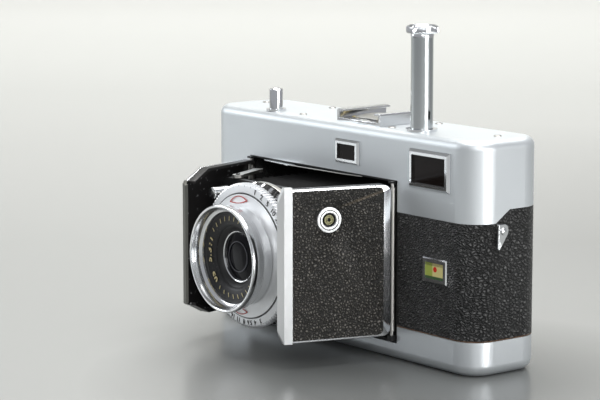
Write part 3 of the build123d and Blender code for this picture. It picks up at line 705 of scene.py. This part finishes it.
def drumKnurl():
    # three rows of small pyramids round the aperture ring, some bright and some black
    points = knurlLook["pyramids"]
    verts = []
    faces = []
    bright = []
    for row, (y0, y1) in enumerate(knurlLook["rows"]):
        for k in range(points):
            a0 = 2 * math.pi * (k + 0.5 * row) / points
            a1 = a0 + 2 * math.pi / points
            am = (a0 + a1) / 2
            start = len(verts)
            for a, y in ((a0, y0), (a1, y0), (a1, y1), (a0, y1)):
                verts.append(lensPoint(knurlLook["foot"], a, y))
            verts.append(lensPoint(knurlLook["peak"], am, (y0 + y1) / 2))
            for i in range(4):
                faces.append((start + i, start + (i + 1) % 4, start + 4))
            faces.append((start + 3, start + 2, start + 1, start))
            bright.append(k % 3 == 0)
    obj = makeObject("apertureKnurl", verts, faces, blackAnodised, 10, False)
    obj.data.materials.append(ringChrome)
    for index, face in enumerate(obj.data.polygons):
        face.material_index = 1 if bright[index // 5] else 0
    body = turnOnLens("apertureRing", [
        (21.5, -24.02), (22.3, -24.02), (22.3, -26.98), (21.5, -26.98),
    ], blackAnodised, 128)
    ring = joinObjects(body, [obj])
    settle(ring, "aperture_ring", "black_anodised", "aperture_ring")


def makeLever():
    a = math.radians(leverLook["angle"])
    reach = leverLook["reach"]
    pad = []
    for k in range(28):
        t = 2 * math.pi * k / 28
        pad.append((reach + leverLook["pad"] * math.cos(t), leverLook["pad"] * math.sin(t)))

    def place(u, v, h):
        x = lensX + u * math.cos(a) - v * math.sin(a)
        z = lensZ + u * math.sin(a) + v * math.cos(a)
        return (x * mm, (frontY + h) * mm, z * mm)

    head = slabOf("leverHead", pad, place, -28.1, -21.9, brightChrome, 0.35)
    armOutline = [(21.6, -1.2), (reach, -1.0), (reach, 1.0), (21.6, 1.2)]
    arm = slabOf("leverArm", armOutline, place, -23.5, -21.9, dullSteel, 0.2)
    hoop = turnOnLens("leverHoop", [
        (21.5, -21.85), (22.5, -21.85), (22.55, -22.0), (22.55, -23.4), (22.5, -23.55), (21.5, -23.55),
    ], dullSteel, 128)
    lever = joinObjects(hoop, [head, arm])
    lever.name = "cockingLever"
    settle(lever, "cocking_lever", "polished_chrome", "cocking_lever")


def engraveText(name, text, size, radius, angle, behind, material, lift=0.02, lean=0.0, bold=0.0):
    # letters stand round the lens axis with their feet towards it
    data = bpy.data.curves.new(name, "FONT")
    data.body = text
    data.size = size * mm
    data.align_x = "CENTER"
    data.align_y = "CENTER"
    data.extrude = lift * mm
    data.resolution_u = 3
    data.offset = bold * mm
    obj = bpy.data.objects.new(name, data)
    bpy.context.scene.collection.objects.link(obj)
    bpy.context.view_layer.update()
    mesh = bpy.data.meshes.new_from_object(obj.evaluated_get(bpy.context.evaluated_depsgraph_get()))
    bpy.data.objects.remove(obj)
    a = angle
    out = Vector((math.cos(a), 0, math.sin(a)))
    along = Vector((math.sin(a), 0, -math.cos(a)))
    centre = Vector(lensPoint(radius, a, behind))
    for v in mesh.vertices:
        x, y, z = v.co
        v.co = centre + along * x + out * y + Vector((0, -1, 0)) * (z + lean * y)
    mesh.materials.clear()
    mesh.materials.append(material)
    piece = bpy.data.objects.new(name, mesh)
    bpy.context.scene.collection.objects.link(piece)
    return piece


def almondMark(name, angle):
    # a pointed oval outline across the dial
    centre = markLook["radius"]
    outer = []
    inner = []
    half = markLook["half"]
    steps = 14
    for sign in (1, -1):
        for k in range(steps):
            t = -1 + 2 * k / steps if sign == 1 else 1 - 2 * k / steps
            outer.append((t * half, sign * markLook["tall"] * (1 - t * t)))
            inner.append((t * (half - markLook["line"]), sign * markLook["tall"] * 0.8 * (1 - t * t)))

    def place(p, y):
        # bent along the dial
        a = angle - p[0] / centre
        return lensPoint(centre + p[1] * 0.8, a, y)

    count = len(outer)
    verts = []
    for y in (-30.88, -30.96):
        verts += [place(p, y) for p in outer] + [place(p, y) for p in inner]
    faces = []
    for i in range(count):
        j = (i + 1) % count
        faces.append((2 * count + i, 2 * count + j, 3 * count + j, 3 * count + i))
        faces.append((i, count + i, count + j, j))
        faces.append((i, j, 2 * count + j, 2 * count + i))
        faces.append((count + i, 3 * count + i, 3 * count + j, count + j))
    return makeObject(name, verts, faces, redPaint, 40)


def dialMarks():
    # plain numerals and ticks only
    gold = []
    for angle, text in figureLook["lens"]:
        gold.append(engraveText(
            "goldFigure", text, 3.3, 11.95, math.radians(angle), -35.15, goldPaint, 0.05, -0.17, 0.07,
        ))
    for k in range(24):
        angle = math.radians(238 + k * 11.5)
        gold.append(engraveText("goldTick", "|", 1.5, 12.4, angle, -35.25, goldPaint, 0.05, -0.17, 0.04))
    figures = joinObjects(gold[0], gold[1:])
    settle(figures, "lens_board", "black_anodised")
    black = []
    for k, text in enumerate(figureLook["speeds"]):
        angle = math.radians(figureLook["speedFrom"] - k * figureLook["speedStep"])
        black.append(engraveText(
            "speedFigure", text, 2.5, 21.05, angle, -30.16, blackPaint, 0.04, 0.0, 0.05,
        ))
    for k, text in enumerate(figureLook["stops"]):
        angle = math.radians(figureLook["stopFrom"] - k * figureLook["stopStep"])
        black.append(engraveText(
            "stopFigure", text, 2.1, 20.95, angle, -30.16, blackPaint, 0.04, 0.0, 0.05,
        ))
    for k in range(44):
        black.append(engraveText("faceTick", "|", 0.9, 21.9, math.radians(8 * k + 3), -30.02, blackPaint))
    dial = joinObjects(black[0], black[1:])
    settle(dial, "speed_ring", "polished_chrome")
    low = almondMark("almondLow", math.radians(markLook["low"]))
    marks = joinObjects(almondMark("almondTop", math.radians(markLook["top"])), [low])
    line = turnOnLens("faceLine", [
        (19.45, -30.5), (19.62, -30.5), (19.62, -30.3), (19.45, -30.3),
    ], blackPaint, 96)
    marks = joinObjects(marks, [line])
    settle(marks, "lens_board", "polished_chrome")


makeLens()
makeShutter()
drumKnurl()
makeLever()
dialMarks()
print("lens and shutter made")

# bellows

bellowsLook = {"pleats": 14, "deep": 2.0, "rear": 8.6, "front": -31.4}


def makeBellows():
    rows = bellowsLook["pleats"] * 2 + 1
    verts = []
    per = 0
    for shell in (0, 1):
        for k in range(rows):
            t = k / (rows - 1)
            y = bellowsLook["rear"] + (bellowsLook["front"] - bellowsLook["rear"]) * t
            inset = bellowsLook["deep"] * (k % 2) + 0.5 * shell
            outline = roundedOutline((-25 + inset, -20 + inset), (25 - inset, 20 - inset), (2.5,) * 4, 4)
            per = len(outline)
            verts += [((lensX + u) * mm, y * mm, (lensZ + v) * mm) for u, v in outline]
    faces = []
    size = rows * per
    for shell in (0, 1):
        for k in range(rows - 1):
            for i in range(per):
                j = (i + 1) % per
                a = shell * size + k * per
                faces.append((a + i, a + j, a + per + j, a + per + i))
    for k in (0, rows - 1):
        for i in range(per):
            j = (i + 1) % per
            faces.append((k * per + i, k * per + j, size + k * per + j, size + k * per + i))
    obj = makeObject("bellowsPleats", verts, faces, bellowsCloth, 20)
    settle(obj, "chassis", "bellows_cloth", "bellows")
    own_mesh(obj)


makeBellows()

# doors

socketLook = {"along": 21.8, "height": 45.6, "shellHole": 3.68, "leatherHole": 3.7}


def doorPrism(name, side, section, low, high, material, cuts=(), bevel=0.0):
    # section is in (along, out of the face); cuts are planes ((s, z), (s, z)) keeping the hinge side
    bm = bmesh.new()
    rows = [[bm.verts.new((u, v, z)) for u, v in section] for z in (low, high)]
    count = len(section)
    bm.faces.new(rows[0])
    bm.faces.new(rows[1][::-1])
    for i in range(count):
        j = (i + 1) % count
        bm.faces.new((rows[0][i], rows[1][i], rows[1][j], rows[0][j]))
    for (s0, z0), (s1, z1) in cuts:
        normal = Vector((abs(z1 - z0), 0, (s0 - s1) * (1 if z1 > z0 else -1))).normalized()
        got = bmesh.ops.bisect_plane(
            bm, geom=bm.verts[:] + bm.edges[:] + bm.faces[:], plane_co=(s0, 0, z0),
            plane_no=normal, clear_outer=True,
        )
        edges = [e for e in got["geom_cut"] if isinstance(e, bmesh.types.BMEdge)]
        bmesh.ops.holes_fill(bm, edges=edges)
    bm.verts.index_update()
    verts = [doorPoint(side, v.co.x, v.co.y, v.co.z) for v in bm.verts]
    faces = [tuple(v.index for v in f.verts) for f in bm.faces]
    bm.free()
    obj = makeObject(name, verts, faces, material)
    if bevel:
        softenEdges(obj, bevel)
    return obj


def doorOutline(side, inset=0.0):
    low, high = doorLook["low"] + inset, doorLook["high"] - inset
    near, far = 1.0 + inset, doorLook["far"]
    if side == 1:
        return roundedOutline((near, low), (far, high), (2.6 - inset * 0.5, 0, 0, 2.6 - inset * 0.5))
    # the left door's free corners are cut off
    curve = roundedOutline((near, low), (far, high), (2.2, 0, 0, 2.2))
    steps = 7
    start = curve[:steps]
    end = curve[-steps:]
    cut = inset * 0.6
    return start + [(26.5 - cut, low), (far, low + 3.4), (far, high - 3.4), (26.5 - cut, high)] + end


def makeDoor(side, hand):
    chrome = doorMetalRight if side == 1 else doorMetalLeft

    def place(u, v, h):
        return doorPoint(side, u, h, v)

    name = "door" + hand.capitalize()
    plate = slabOf(name + "Plate", doorOutline(side), place, -doorLook["plate"], -0.02, chrome, 0.25)
    outline = doorOutline(side, 0.05)
    inner = doorOutline(side, 1.05)
    skip = 3
    outer = outline[skip:-skip]
    lip = inner[skip:-skip]
    half = len(outer) // 2
    parts = []
    for points, back in ((outer[:half], lip[:half]), (outer[half:], lip[half:])):
        ring = points + back[::-1]
        parts.append(slabOf(name + "Lip", ring, place, -doorLook["lip"], -doorLook["plate"], chrome, 0.12))
    knuckle = []
    for k in range(24):
        t = 2 * math.pi * k / 24
        knuckle.append((0.98 * math.cos(t), -1.5 + 0.98 * math.sin(t)))
    parts.append(doorPrism(name + "Knuckle", side, knuckle, 9.2, 54.2, dullSteel))
    shell = joinObjects(plate, parts)
    if side == 1:
        cutRound(shell, socketLook["shellHole"])
    settle(shell, "door_" + hand, "black_enamel", "door_" + hand + "_shell")
    leather = slabOf(name + "Leather", doorLeatherOutline(side), place, -0.4, 0.16, doorLeather, 0.12)
    if side == 1:
        cutRound(leather, socketLook["leatherHole"])
    settle(leather, "door_" + hand, "door_leather", "door_" + hand + "_leather")
    section = [(33.65, 0.15), (36.1, -0.25), (37.75, -2.1), (37.05, -2.9), (35.6, -1.5), (33.65, -1.25)]
    if side == 1:
        low, high = 7.9, 56.0
        cuts = (((37.75, 50.6), (36.0, 56.2)), ((37.75, 12.0), (36.0, 7.7)))
    else:
        low, high = 11.5, 51.9
        cuts = (((37.8, 49.8), (33.7, 51.95)), ((37.8, 13.6), (33.7, 11.45)))
    tip = noseChrome
    if side == -1:
        section = [(33.7 + (u - 33.7) * 0.62, v) for u, v in section]
        tip = edgeSteel
    nose = doorPrism(name + "Nose", side, section, low, high, tip, cuts, 0.14)
    settle(nose, "door_" + hand, "polished_chrome", "door_" + hand + "_nose")


def doorLeatherOutline(side):
    low, high = doorLook["low"] + 0.6, doorLook["high"] - 0.6
    if side == 1:
        return roundedOutline((3.5, low), (33.45, high), (1.9, 0.3, 0.3, 1.9))
    curve = roundedOutline((3.5, low), (33.45, high), (1.9, 0, 0, 1.9))
    return curve[:7] + [(26.0, low), (33.45, low + 3.2), (33.45, high - 3.2), (26.0, high)] + curve[-7:]


def cutRound(piece, radius):
    # opens a door's plate or leather for the flash socket
    s, z = socketLook["along"], socketLook["height"]
    cutter = []
    for k in range(48):
        a = 2 * math.pi * k / 48
        cutter.append((s + radius * math.cos(a), z + radius * math.sin(a)))
    tool = slabOf("tool", cutter, lambda u, v, h: doorPoint(1, u, h, v), -3, 3, doorLeather)
    carve(piece, tool)


def makeSocket():
    turn = math.radians(doorLook["rest"])
    centre = Vector(doorPoint(1, socketLook["along"], 0, socketLook["height"]))
    normal = Vector((math.cos(turn), -math.sin(turn), 0))
    along = Vector((-math.sin(turn), -math.cos(turn), 0))

    def place(radius, angle, height):
        up = Vector((0, 0, radius * math.sin(angle) * mm))
        return tuple(centre + along * (radius * math.cos(angle) * mm) + up + normal * (height * mm))

    def ring(name, profile, material):
        return latheObject(name, place, profile, material, 72)

    outer = ring("socketRing", [
        (2.2, -1.2), (3.6, -1.2), (3.6, 0.3), (3.95, 0.3), (3.95, 0.6), (3.8, 0.8), (3.1, 0.85),
        (3.05, 0.6), (2.9, 0.6), (2.85, 0.85), (2.4, 0.85), (2.2, 0.6),
    ], ringSilver)
    well = ring("socketWell", [
        (0.0, -1.35), (2.3, -1.35), (2.3, 0.1), (2.1, 0.1), (2.1, -0.5), (0.0, -0.5),
    ], blackPaint)
    core = ring("socketCore", [
        (0.5, -0.6), (1.65, -0.6), (1.65, 0.25), (1.5, 0.4), (1.15, 0.4), (1.1, 0.25), (0.95, 0.25),
        (0.9, 0.4), (0.6, 0.4), (0.5, 0.3),
    ], oliveBrass)
    line = ring("socketLine", [(2.9, 0.5), (3.18, 0.5), (3.18, 0.88), (2.9, 0.88)], blackPaint)
    socket = joinObjects(outer, [well, core, line])
    settle(socket, "door_right", "polished_chrome", "sync_socket")


for side, hand in ((-1, "left"), (1, "right")):
    makeDoor(side, hand)
makeSocket()
print("doors made")

# plunger and release button

plungerLook = {"x": 33.9, "y": -7.3, "teeth": 72, "cut": 0.16}


def makePlunger():
    x, y = plungerLook["x"], plungerLook["y"]

    def tooth(k, i):
        return -plungerLook["cut"] if i in (2, 3) and k % 4 in (1, 2) else 0

    cap = turnUpright("plungerCap", x, y, [
        (0.0, 101.4), (4.5, 101.4), (4.95, 101.75), (4.95, 103.2), (4.75, 103.6), (4.5, 103.8),
        (4.2, 103.75), (3.9, 103.4), (3.85, 102.9), (3.7, 102.8), (0.0, 102.8),
    ], brightChrome, plungerLook["teeth"] * 4, tooth, 25)
    settle(cap, "plunger", "polished_chrome", "plunger_cap")
    neck = turnUpright("plungerNeck", x, y, [
        (3.5, 100.2), (3.6, 100.35), (3.6, 101.1), (3.5, 101.35), (3.4, 101.35), (3.4, 100.2),
    ], ringChrome, 96)
    settle(neck, "plunger", "polished_chrome")
    button = turnUpright("releaseButton", -36.3, -9.6, [
        (0.0, 66.0), (2.25, 66.0), (2.25, 78.2), (2.2, 78.45), (2.0, 78.65), (1.75, 78.7), (1.2, 78.62),
        (0.95, 78.4), (0.9, 76.6), (0.0, 76.6),
    ], brightChrome, 72)
    settle(button, "release", "polished_chrome", "release_button")


def makeWheel():
    def tooth(k, i):
        return -0.3 if i in (1, 2, 3, 4) and k % 4 in (1, 2) else 0

    wheel = turnUpright("focusWheel", -8.0, 5.4, [
        (1.47, 60.0), (10.3, 60.0), (10.6, 60.3), (10.6, 63.7), (10.3, 64.0), (1.47, 64.0),
    ], brightChrome, 72 * 4, tooth, 25)
    settle(wheel, "focus_wheel", "polished_chrome", "focus_wheel")


makePlunger()
makeWheel()

# accessory shoe

shoeLook = {"x": 7.85, "half": 10.65, "front": -11.0, "back": 8.5, "base": 71.4}


def makeShoe():
    x0 = shoeLook["x"]
    b = shoeLook["base"]
    h = shoeLook["half"]

    def place(u, v, y):
        return (u * mm, y * mm, v * mm)

    rails = []
    for side in (-1, 1):
        section = [
            (h, b), (h, b + 3.3), (h - 0.35, b + 3.9), (h - 1.0, b + 4.0), (h - 3.0, b + 3.8),
            (h - 3.0, b + 3.15), (h - 1.35, b + 3.3), (h - 1.15, b + 3.1), (h - 1.15, b + 1.1),
            (0, b + 1.1), (0, b),
        ]
        outline = [(x0 + side * u, v) for u, v in section]
        if side == -1:
            outline.reverse()
        rails.append(slabOf(
            "shoeRail", outline, place, shoeLook["front"], shoeLook["back"], ringChrome, 0.12,
        ))
    shoe = joinObjects(rails[0], rails[1:])
    shoe.name = "shoeBody"
    settle(shoe, "chassis", "polished_chrome", "accessory_shoe")
    leaf = []
    for k in range(13):
        t = k / 12
        leaf.append((-7.8 + 13.4 * t, b + 1.35 + 0.55 * math.sin(math.pi * t)))
    strip = [(y, z) for y, z in leaf] + [(y, z + 0.28) for y, z in reversed(leaf)]
    spring = slabOf(
        "shoeLeaf", strip, lambda u, v, x: (x * mm, u * mm, v * mm), x0 - 5.4, x0 + 5.4, dullSteel, 0.06,
    )
    settle(spring, "chassis", "steel", "shoe_spring")


makeShoe()

# screws: one slotted head, spread over the points by a node tree

screwLook = {"radius": 1.35, "height": 0.45, "slot": 0.22}


def screwHead(material):
    r = screwLook["radius"]
    h = screwLook["height"]
    head = turnUpright("screwHead", 0, 0, [
        (0.0, 0.0), (r, 0.0), (r, h * 0.45), (r * 0.86, h * 0.85), (r * 0.5, h), (0.0, h),
    ], material, 32)
    s = screwLook["slot"]
    slot = [(-r * 2, -s), (r * 2, -s), (r * 2, s), (-r * 2, s)]
    blade = slabOf(
        "blade", slot, lambda u, v, z: (u * mm, v * mm, z * mm), h * 0.45, h * 2, material,
    )
    carve(head, blade)
    return head


def screwTree(head, material):
    tree = bpy.data.node_groups.new("spreadScrews", "GeometryNodeTree")
    tree.interface.new_socket("Geometry", in_out="INPUT", socket_type="NodeSocketGeometry")
    turn = tree.interface.new_socket("Slot turn", in_out="INPUT", socket_type="NodeSocketFloat")
    size = tree.interface.new_socket("Head size", in_out="INPUT", socket_type="NodeSocketFloat")
    tree.interface.new_socket("Geometry", in_out="OUTPUT", socket_type="NodeSocketGeometry")
    start = tree.nodes.new("NodeGroupInput")
    end = tree.nodes.new("NodeGroupOutput")
    info = tree.nodes.new("GeometryNodeObjectInfo")
    info.inputs["Object"].default_value = head
    spread = tree.nodes.new("GeometryNodeInstanceOnPoints")
    chance = tree.nodes.new("FunctionNodeRandomValue")
    chance.data_type = "FLOAT"
    chance.inputs["Seed"].default_value = 7
    angle = tree.nodes.new("ShaderNodeCombineXYZ")
    tree.links.new(start.outputs["Slot turn"], chance.inputs[3])
    tree.links.new(chance.outputs[1], angle.inputs[2])
    real = tree.nodes.new("GeometryNodeRealizeInstances")
    paint = tree.nodes.new("GeometryNodeSetMaterial")
    paint.inputs["Material"].default_value = material
    tree.links.new(start.outputs["Geometry"], spread.inputs["Points"])
    tree.links.new(info.outputs["Geometry"], spread.inputs["Instance"])
    tree.links.new(angle.outputs[0], spread.inputs["Rotation"])
    tree.links.new(start.outputs["Head size"], spread.inputs["Scale"])
    tree.links.new(spread.outputs[0], real.inputs[0])
    tree.links.new(real.outputs[0], paint.inputs[0])
    tree.links.new(paint.outputs[0], end.inputs[0])
    return tree, turn.identifier, size.identifier


def spreadScrews(name, places, scale, material, body, slotName, *replaced):
    head = screwHead(material)
    mesh = bpy.data.meshes.new(name)
    mesh.from_pydata([(x * mm, y * mm, z * mm) for x, y, z in places], [], [])
    obj = bpy.data.objects.new(name, mesh)
    bpy.context.scene.collection.objects.link(obj)
    tree, turnSocket, sizeSocket = screwTree(head, material)
    mod = obj.modifiers.new("screws", "NODES")
    mod.node_group = tree
    mod[turnSocket] = math.pi
    mod[sizeSocket] = scale
    bakeModifiers(obj)
    obj.data.shade_smooth()
    obj.data.set_sharp_from_angle(angle=math.radians(30))
    bpy.data.objects.remove(head)
    settle(obj, body, slotName, *replaced)


topPlaces = [(x, y, 71.4) for x, y in ((-57, 2), (-22, -9.5), (-30, 9), (22.5, -9.5), (24, 8.5), (58, 2))]
spreadScrews("topScrews", topPlaces, 0.9, dullSteel, "chassis", "steel", "top_screws")
shoePlaces = [(shoeLook["x"] + dx, y, 72.5) for dx in (-7.2, 7.2) for y in (-6.0, 4.0)]
spreadScrews("shoeScrews", shoePlaces, 0.95, agedBrass, "chassis", "steel", "shoe_screws")
print("top fittings made")

# strap lugs: a flat tab with a domed rivet

lugLook = {
    "x": 66.15, "thick": 1.3, "rivetX": 67.3, "rivetY": -3.9, "rivetZ": 44.3, "rivetRadius": 1.15,
    # outline of the tab, given as (behind the front, height)
    "tab": [(8.9, 46.4), (11.4, 46.5), (12.4, 45.9), (12.9, 44.6), (12.6, 43.3), (9.6, 38.9),
            (9.1, 38.6), (8.7, 38.9)],
}


def makeLug(side, hand):
    def onTab(u, v, h):
        return (side * (lugLook["x"] + h) * mm, (frontY + u) * mm, v * mm)

    def onRivet(radius, angle, h):
        y = lugLook["rivetY"] + radius * math.cos(angle)
        z = lugLook["rivetZ"] + radius * math.sin(angle)
        return (side * (lugLook["rivetX"] + h) * mm, y * mm, z * mm)

    r = lugLook["rivetRadius"]
    plate = slabOf("lugTab", lugLook["tab"], onTab, 0.0, lugLook["thick"], brightChrome, 0.35)
    rivet = latheObject("lugRivet", onRivet, [
        (0.0, 0.0), (r, 0.0), (r, 0.25), (0.95, 0.6), (0.5, 0.8), (0.0, 0.85),
    ], ringChrome, 36)
    lug = joinObjects(plate, [rivet])
    lug.name = "strapLug" + hand.capitalize()
    settle(lug, "chassis", "polished_chrome", "strap_lug_" + hand)


makeLug(-1, "left")
makeLug(1, "right")

# linkage seen under the edge of the housing

linkLook = {
    "plate": [(-34.0, -0.5), (-19.5, -1.9)], "plateWidth": 2.6, "plateHeights": (55.42, 55.85),
    "rod": [(-19.5, -2.0), (-6, -1.3), (6, -0.8), (13.8, 0.3)], "rodWidth": 0.7,
    "rodHeights": (55.45, 55.75),
}


def makeLinks():
    def place(u, v, z):
        return (u * mm, (frontY + v) * mm, z * mm)

    def bar(name, points, width, heights, material):
        # a flat bar along points given as (x, behind the front)
        left = []
        right = []
        for i, (x, y) in enumerate(points):
            ahead = points[min(i + 1, len(points) - 1)]
            back = points[max(i - 1, 0)]
            dx, dy = ahead[0] - back[0], ahead[1] - back[1]
            size = math.hypot(dx, dy)
            nx, ny = -dy / size * width / 2, dx / size * width / 2
            left.append((x + nx, y + ny))
            right.append((x - nx, y - ny))
        outline = left + right[::-1]
        return slabOf(name, outline, place, *heights, material, 0.1)

    plate = bar("linkPlate", linkLook["plate"], linkLook["plateWidth"], linkLook["plateHeights"], ringChrome)
    rod = bar("linkRod", linkLook["rod"], linkLook["rodWidth"], linkLook["rodHeights"], dullSteel)
    links = joinObjects(plate, [rod])
    settle(links, "chassis", "steel")


makeLinks()

# floor, sweep and lights

stageLook = {
    "light": 1.0,
    # painted light and shade: the floor is coloured darker near the lens and brighter towards the far sweep
    "paintedTones": [(0.10, (0.37, 0.375, 0.362)), (0.26, (0.35, 0.355, 0.342)), (0.34, (0.345, 0.35, 0.336)),
              (0.48, (0.405, 0.408, 0.392)), (0.62, (0.48, 0.485, 0.465)), (0.90, (0.72, 0.725, 0.70))],
    "rightShade": 0.42, "contactShade": 0.66, "contactReach": 0.1, "contactPlace": (0.052, -0.026, 0.0),
}


def makeStage():
    mat, tree, bsdf, coords = startMaterial("paleFloor")
    tone = noiseAt(tree, coords, 3.0, 2.0)
    turn = math.radians(camLook["azimuth"])
    away = Vector((-math.sin(turn), math.cos(turn), 0))
    across = Vector((math.cos(turn), math.sin(turn), 0))
    depth = addNode(tree, "ShaderNodeVectorMath", operation="DOT_PRODUCT")
    depth.inputs[1].default_value = away
    tree.links.new(coords, depth.inputs[0])
    place = plus(tree, times(tree, depth.outputs["Value"], 0.5), 0.25, True)
    # painted light and shade: the floor goes from darker near the camera to brighter at the sweep
    paintedFalloff = rampNode(tree, place, stageLook["paintedTones"])
    near = mixColour(tree, times(tree, tone, 0.04), paintedFalloff, (0.4, 0.4, 0.4))
    # painted shade: a darker band to the right, and a soft painted shadow round the foot of the camera body
    side = addNode(tree, "ShaderNodeVectorMath", operation="DOT_PRODUCT")
    side.inputs[1].default_value = across
    tree.links.new(coords, side.inputs[0])
    off = times(tree, minus(tree, depth.outputs["Value"], 0.18), 2.6)
    band = minus(tree, 1.0, mathNode(tree, "ABSOLUTE", off, None), True)
    rightPart = times(tree, plus(tree, times(tree, side.outputs["Value"], 4.0), 0.3, True), band)
    shaded = mixColour(tree, times(tree, rightPart, stageLook["rightShade"], True), near, (0.06, 0.062, 0.06))
    # painted contact shadow: the floor darkens towards a point under the camera body
    reach = addNode(tree, "ShaderNodeVectorMath", operation="DISTANCE")
    reach.inputs[1].default_value = stageLook["contactPlace"]
    tree.links.new(coords, reach.inputs[0])
    shadowPool = minus(tree, 1.0, mathNode(tree, "DIVIDE", reach.outputs["Value"], stageLook["contactReach"]), True)
    soft = times(tree, times(tree, shadowPool, 1.6, True), stageLook["contactShade"])
    shadowPooled = mixColour(tree, soft, shaded, (0.05, 0.055, 0.055))
    tree.links.new(shadowPooled, bsdf.inputs["Base Color"])
    bsdf.inputs["Roughness"].default_value = 0.24
    rows = []
    # the sweep rises well behind the camera body
    for k in range(40):
        t = k / 39
        if t < 0.5:
            rows.append((-2.6 + t * 2 * 4.0, 0.0))
        else:
            a = (t - 0.5) * math.pi
            rows.append((1.4 + 1.1 * math.sin(a), 1.1 * (1 - math.cos(a))))
    rows.append((2.5, 3.5))
    verts = []
    for d, z in rows:
        for s in (-4, 4):
            p = away * d + across * s
            verts.append((p.x, p.y, z - 0.00005))
    faces = [(2 * i, 2 * i + 1, 2 * i + 3, 2 * i + 2) for i in range(len(rows) - 1)]
    floor = makeObject("floorSweep", verts, faces, mat, 60)
    bm = bmesh.new()
    bm.from_mesh(floor.data)
    bm.faces.ensure_lookup_table()
    if bm.faces[0].normal.z < 0:
        bmesh.ops.reverse_faces(bm, faces=bm.faces)
    bm.to_mesh(floor.data)
    bm.free()


def addLight(name, place, target, size, power, colour=(1, 1, 1)):
    data = bpy.data.lights.new(name, "AREA")
    data.shape = "RECTANGLE"
    data.size, data.size_y = size
    data.energy = power * stageLook["light"]
    data.color = colour
    obj = bpy.data.objects.new(name, data)
    obj.location = place
    aim = Vector(target) - Vector(place)
    obj.rotation_euler = aim.to_track_quat("-Z", "Y").to_euler()
    bpy.context.scene.collection.objects.link(obj)


lightLook = {
    # place, target, size, power and, where it isn't white, colour
    "topSoftbox": ((-0.05, 0.15, 1.2), (0, 0, 0), (1.1, 1.1), 17),
    "leftSoftbox": ((-1.1, -0.7, 0.5), (0, 0, 0.05), (0.6, 0.7), 4.0, (0.93, 0.97, 1.0)),
    "cameraSoftbox": ((0.95, -0.62, 0.62), (0, 0, 0.05), (0.55, 0.8), 4.2),
    "rightSoftbox": ((0.95, 0.1, 0.12), (0, 0, 0.04), (0.42, 0.14), 3.2),
    "sweepLight": ((-0.7, 0.6, 1.5), (-1.5, 1.2, 0.1), (1.5, 0.8), 20, (1.0, 0.985, 0.94)),
}

makeStage()
for lightName, setting in lightLook.items():
    addLight(lightName, *setting)
world = bpy.data.worlds.new("studioWorld")
world.use_nodes = True
world.node_tree.nodes["Background"].inputs[0].default_value = (0.93, 0.95, 1.0, 1)
world.node_tree.nodes["Background"].inputs[1].default_value = 0.40
bpy.context.scene.world = world
bpy.context.scene.view_settings.view_transform = "Standard"
print("stage made")
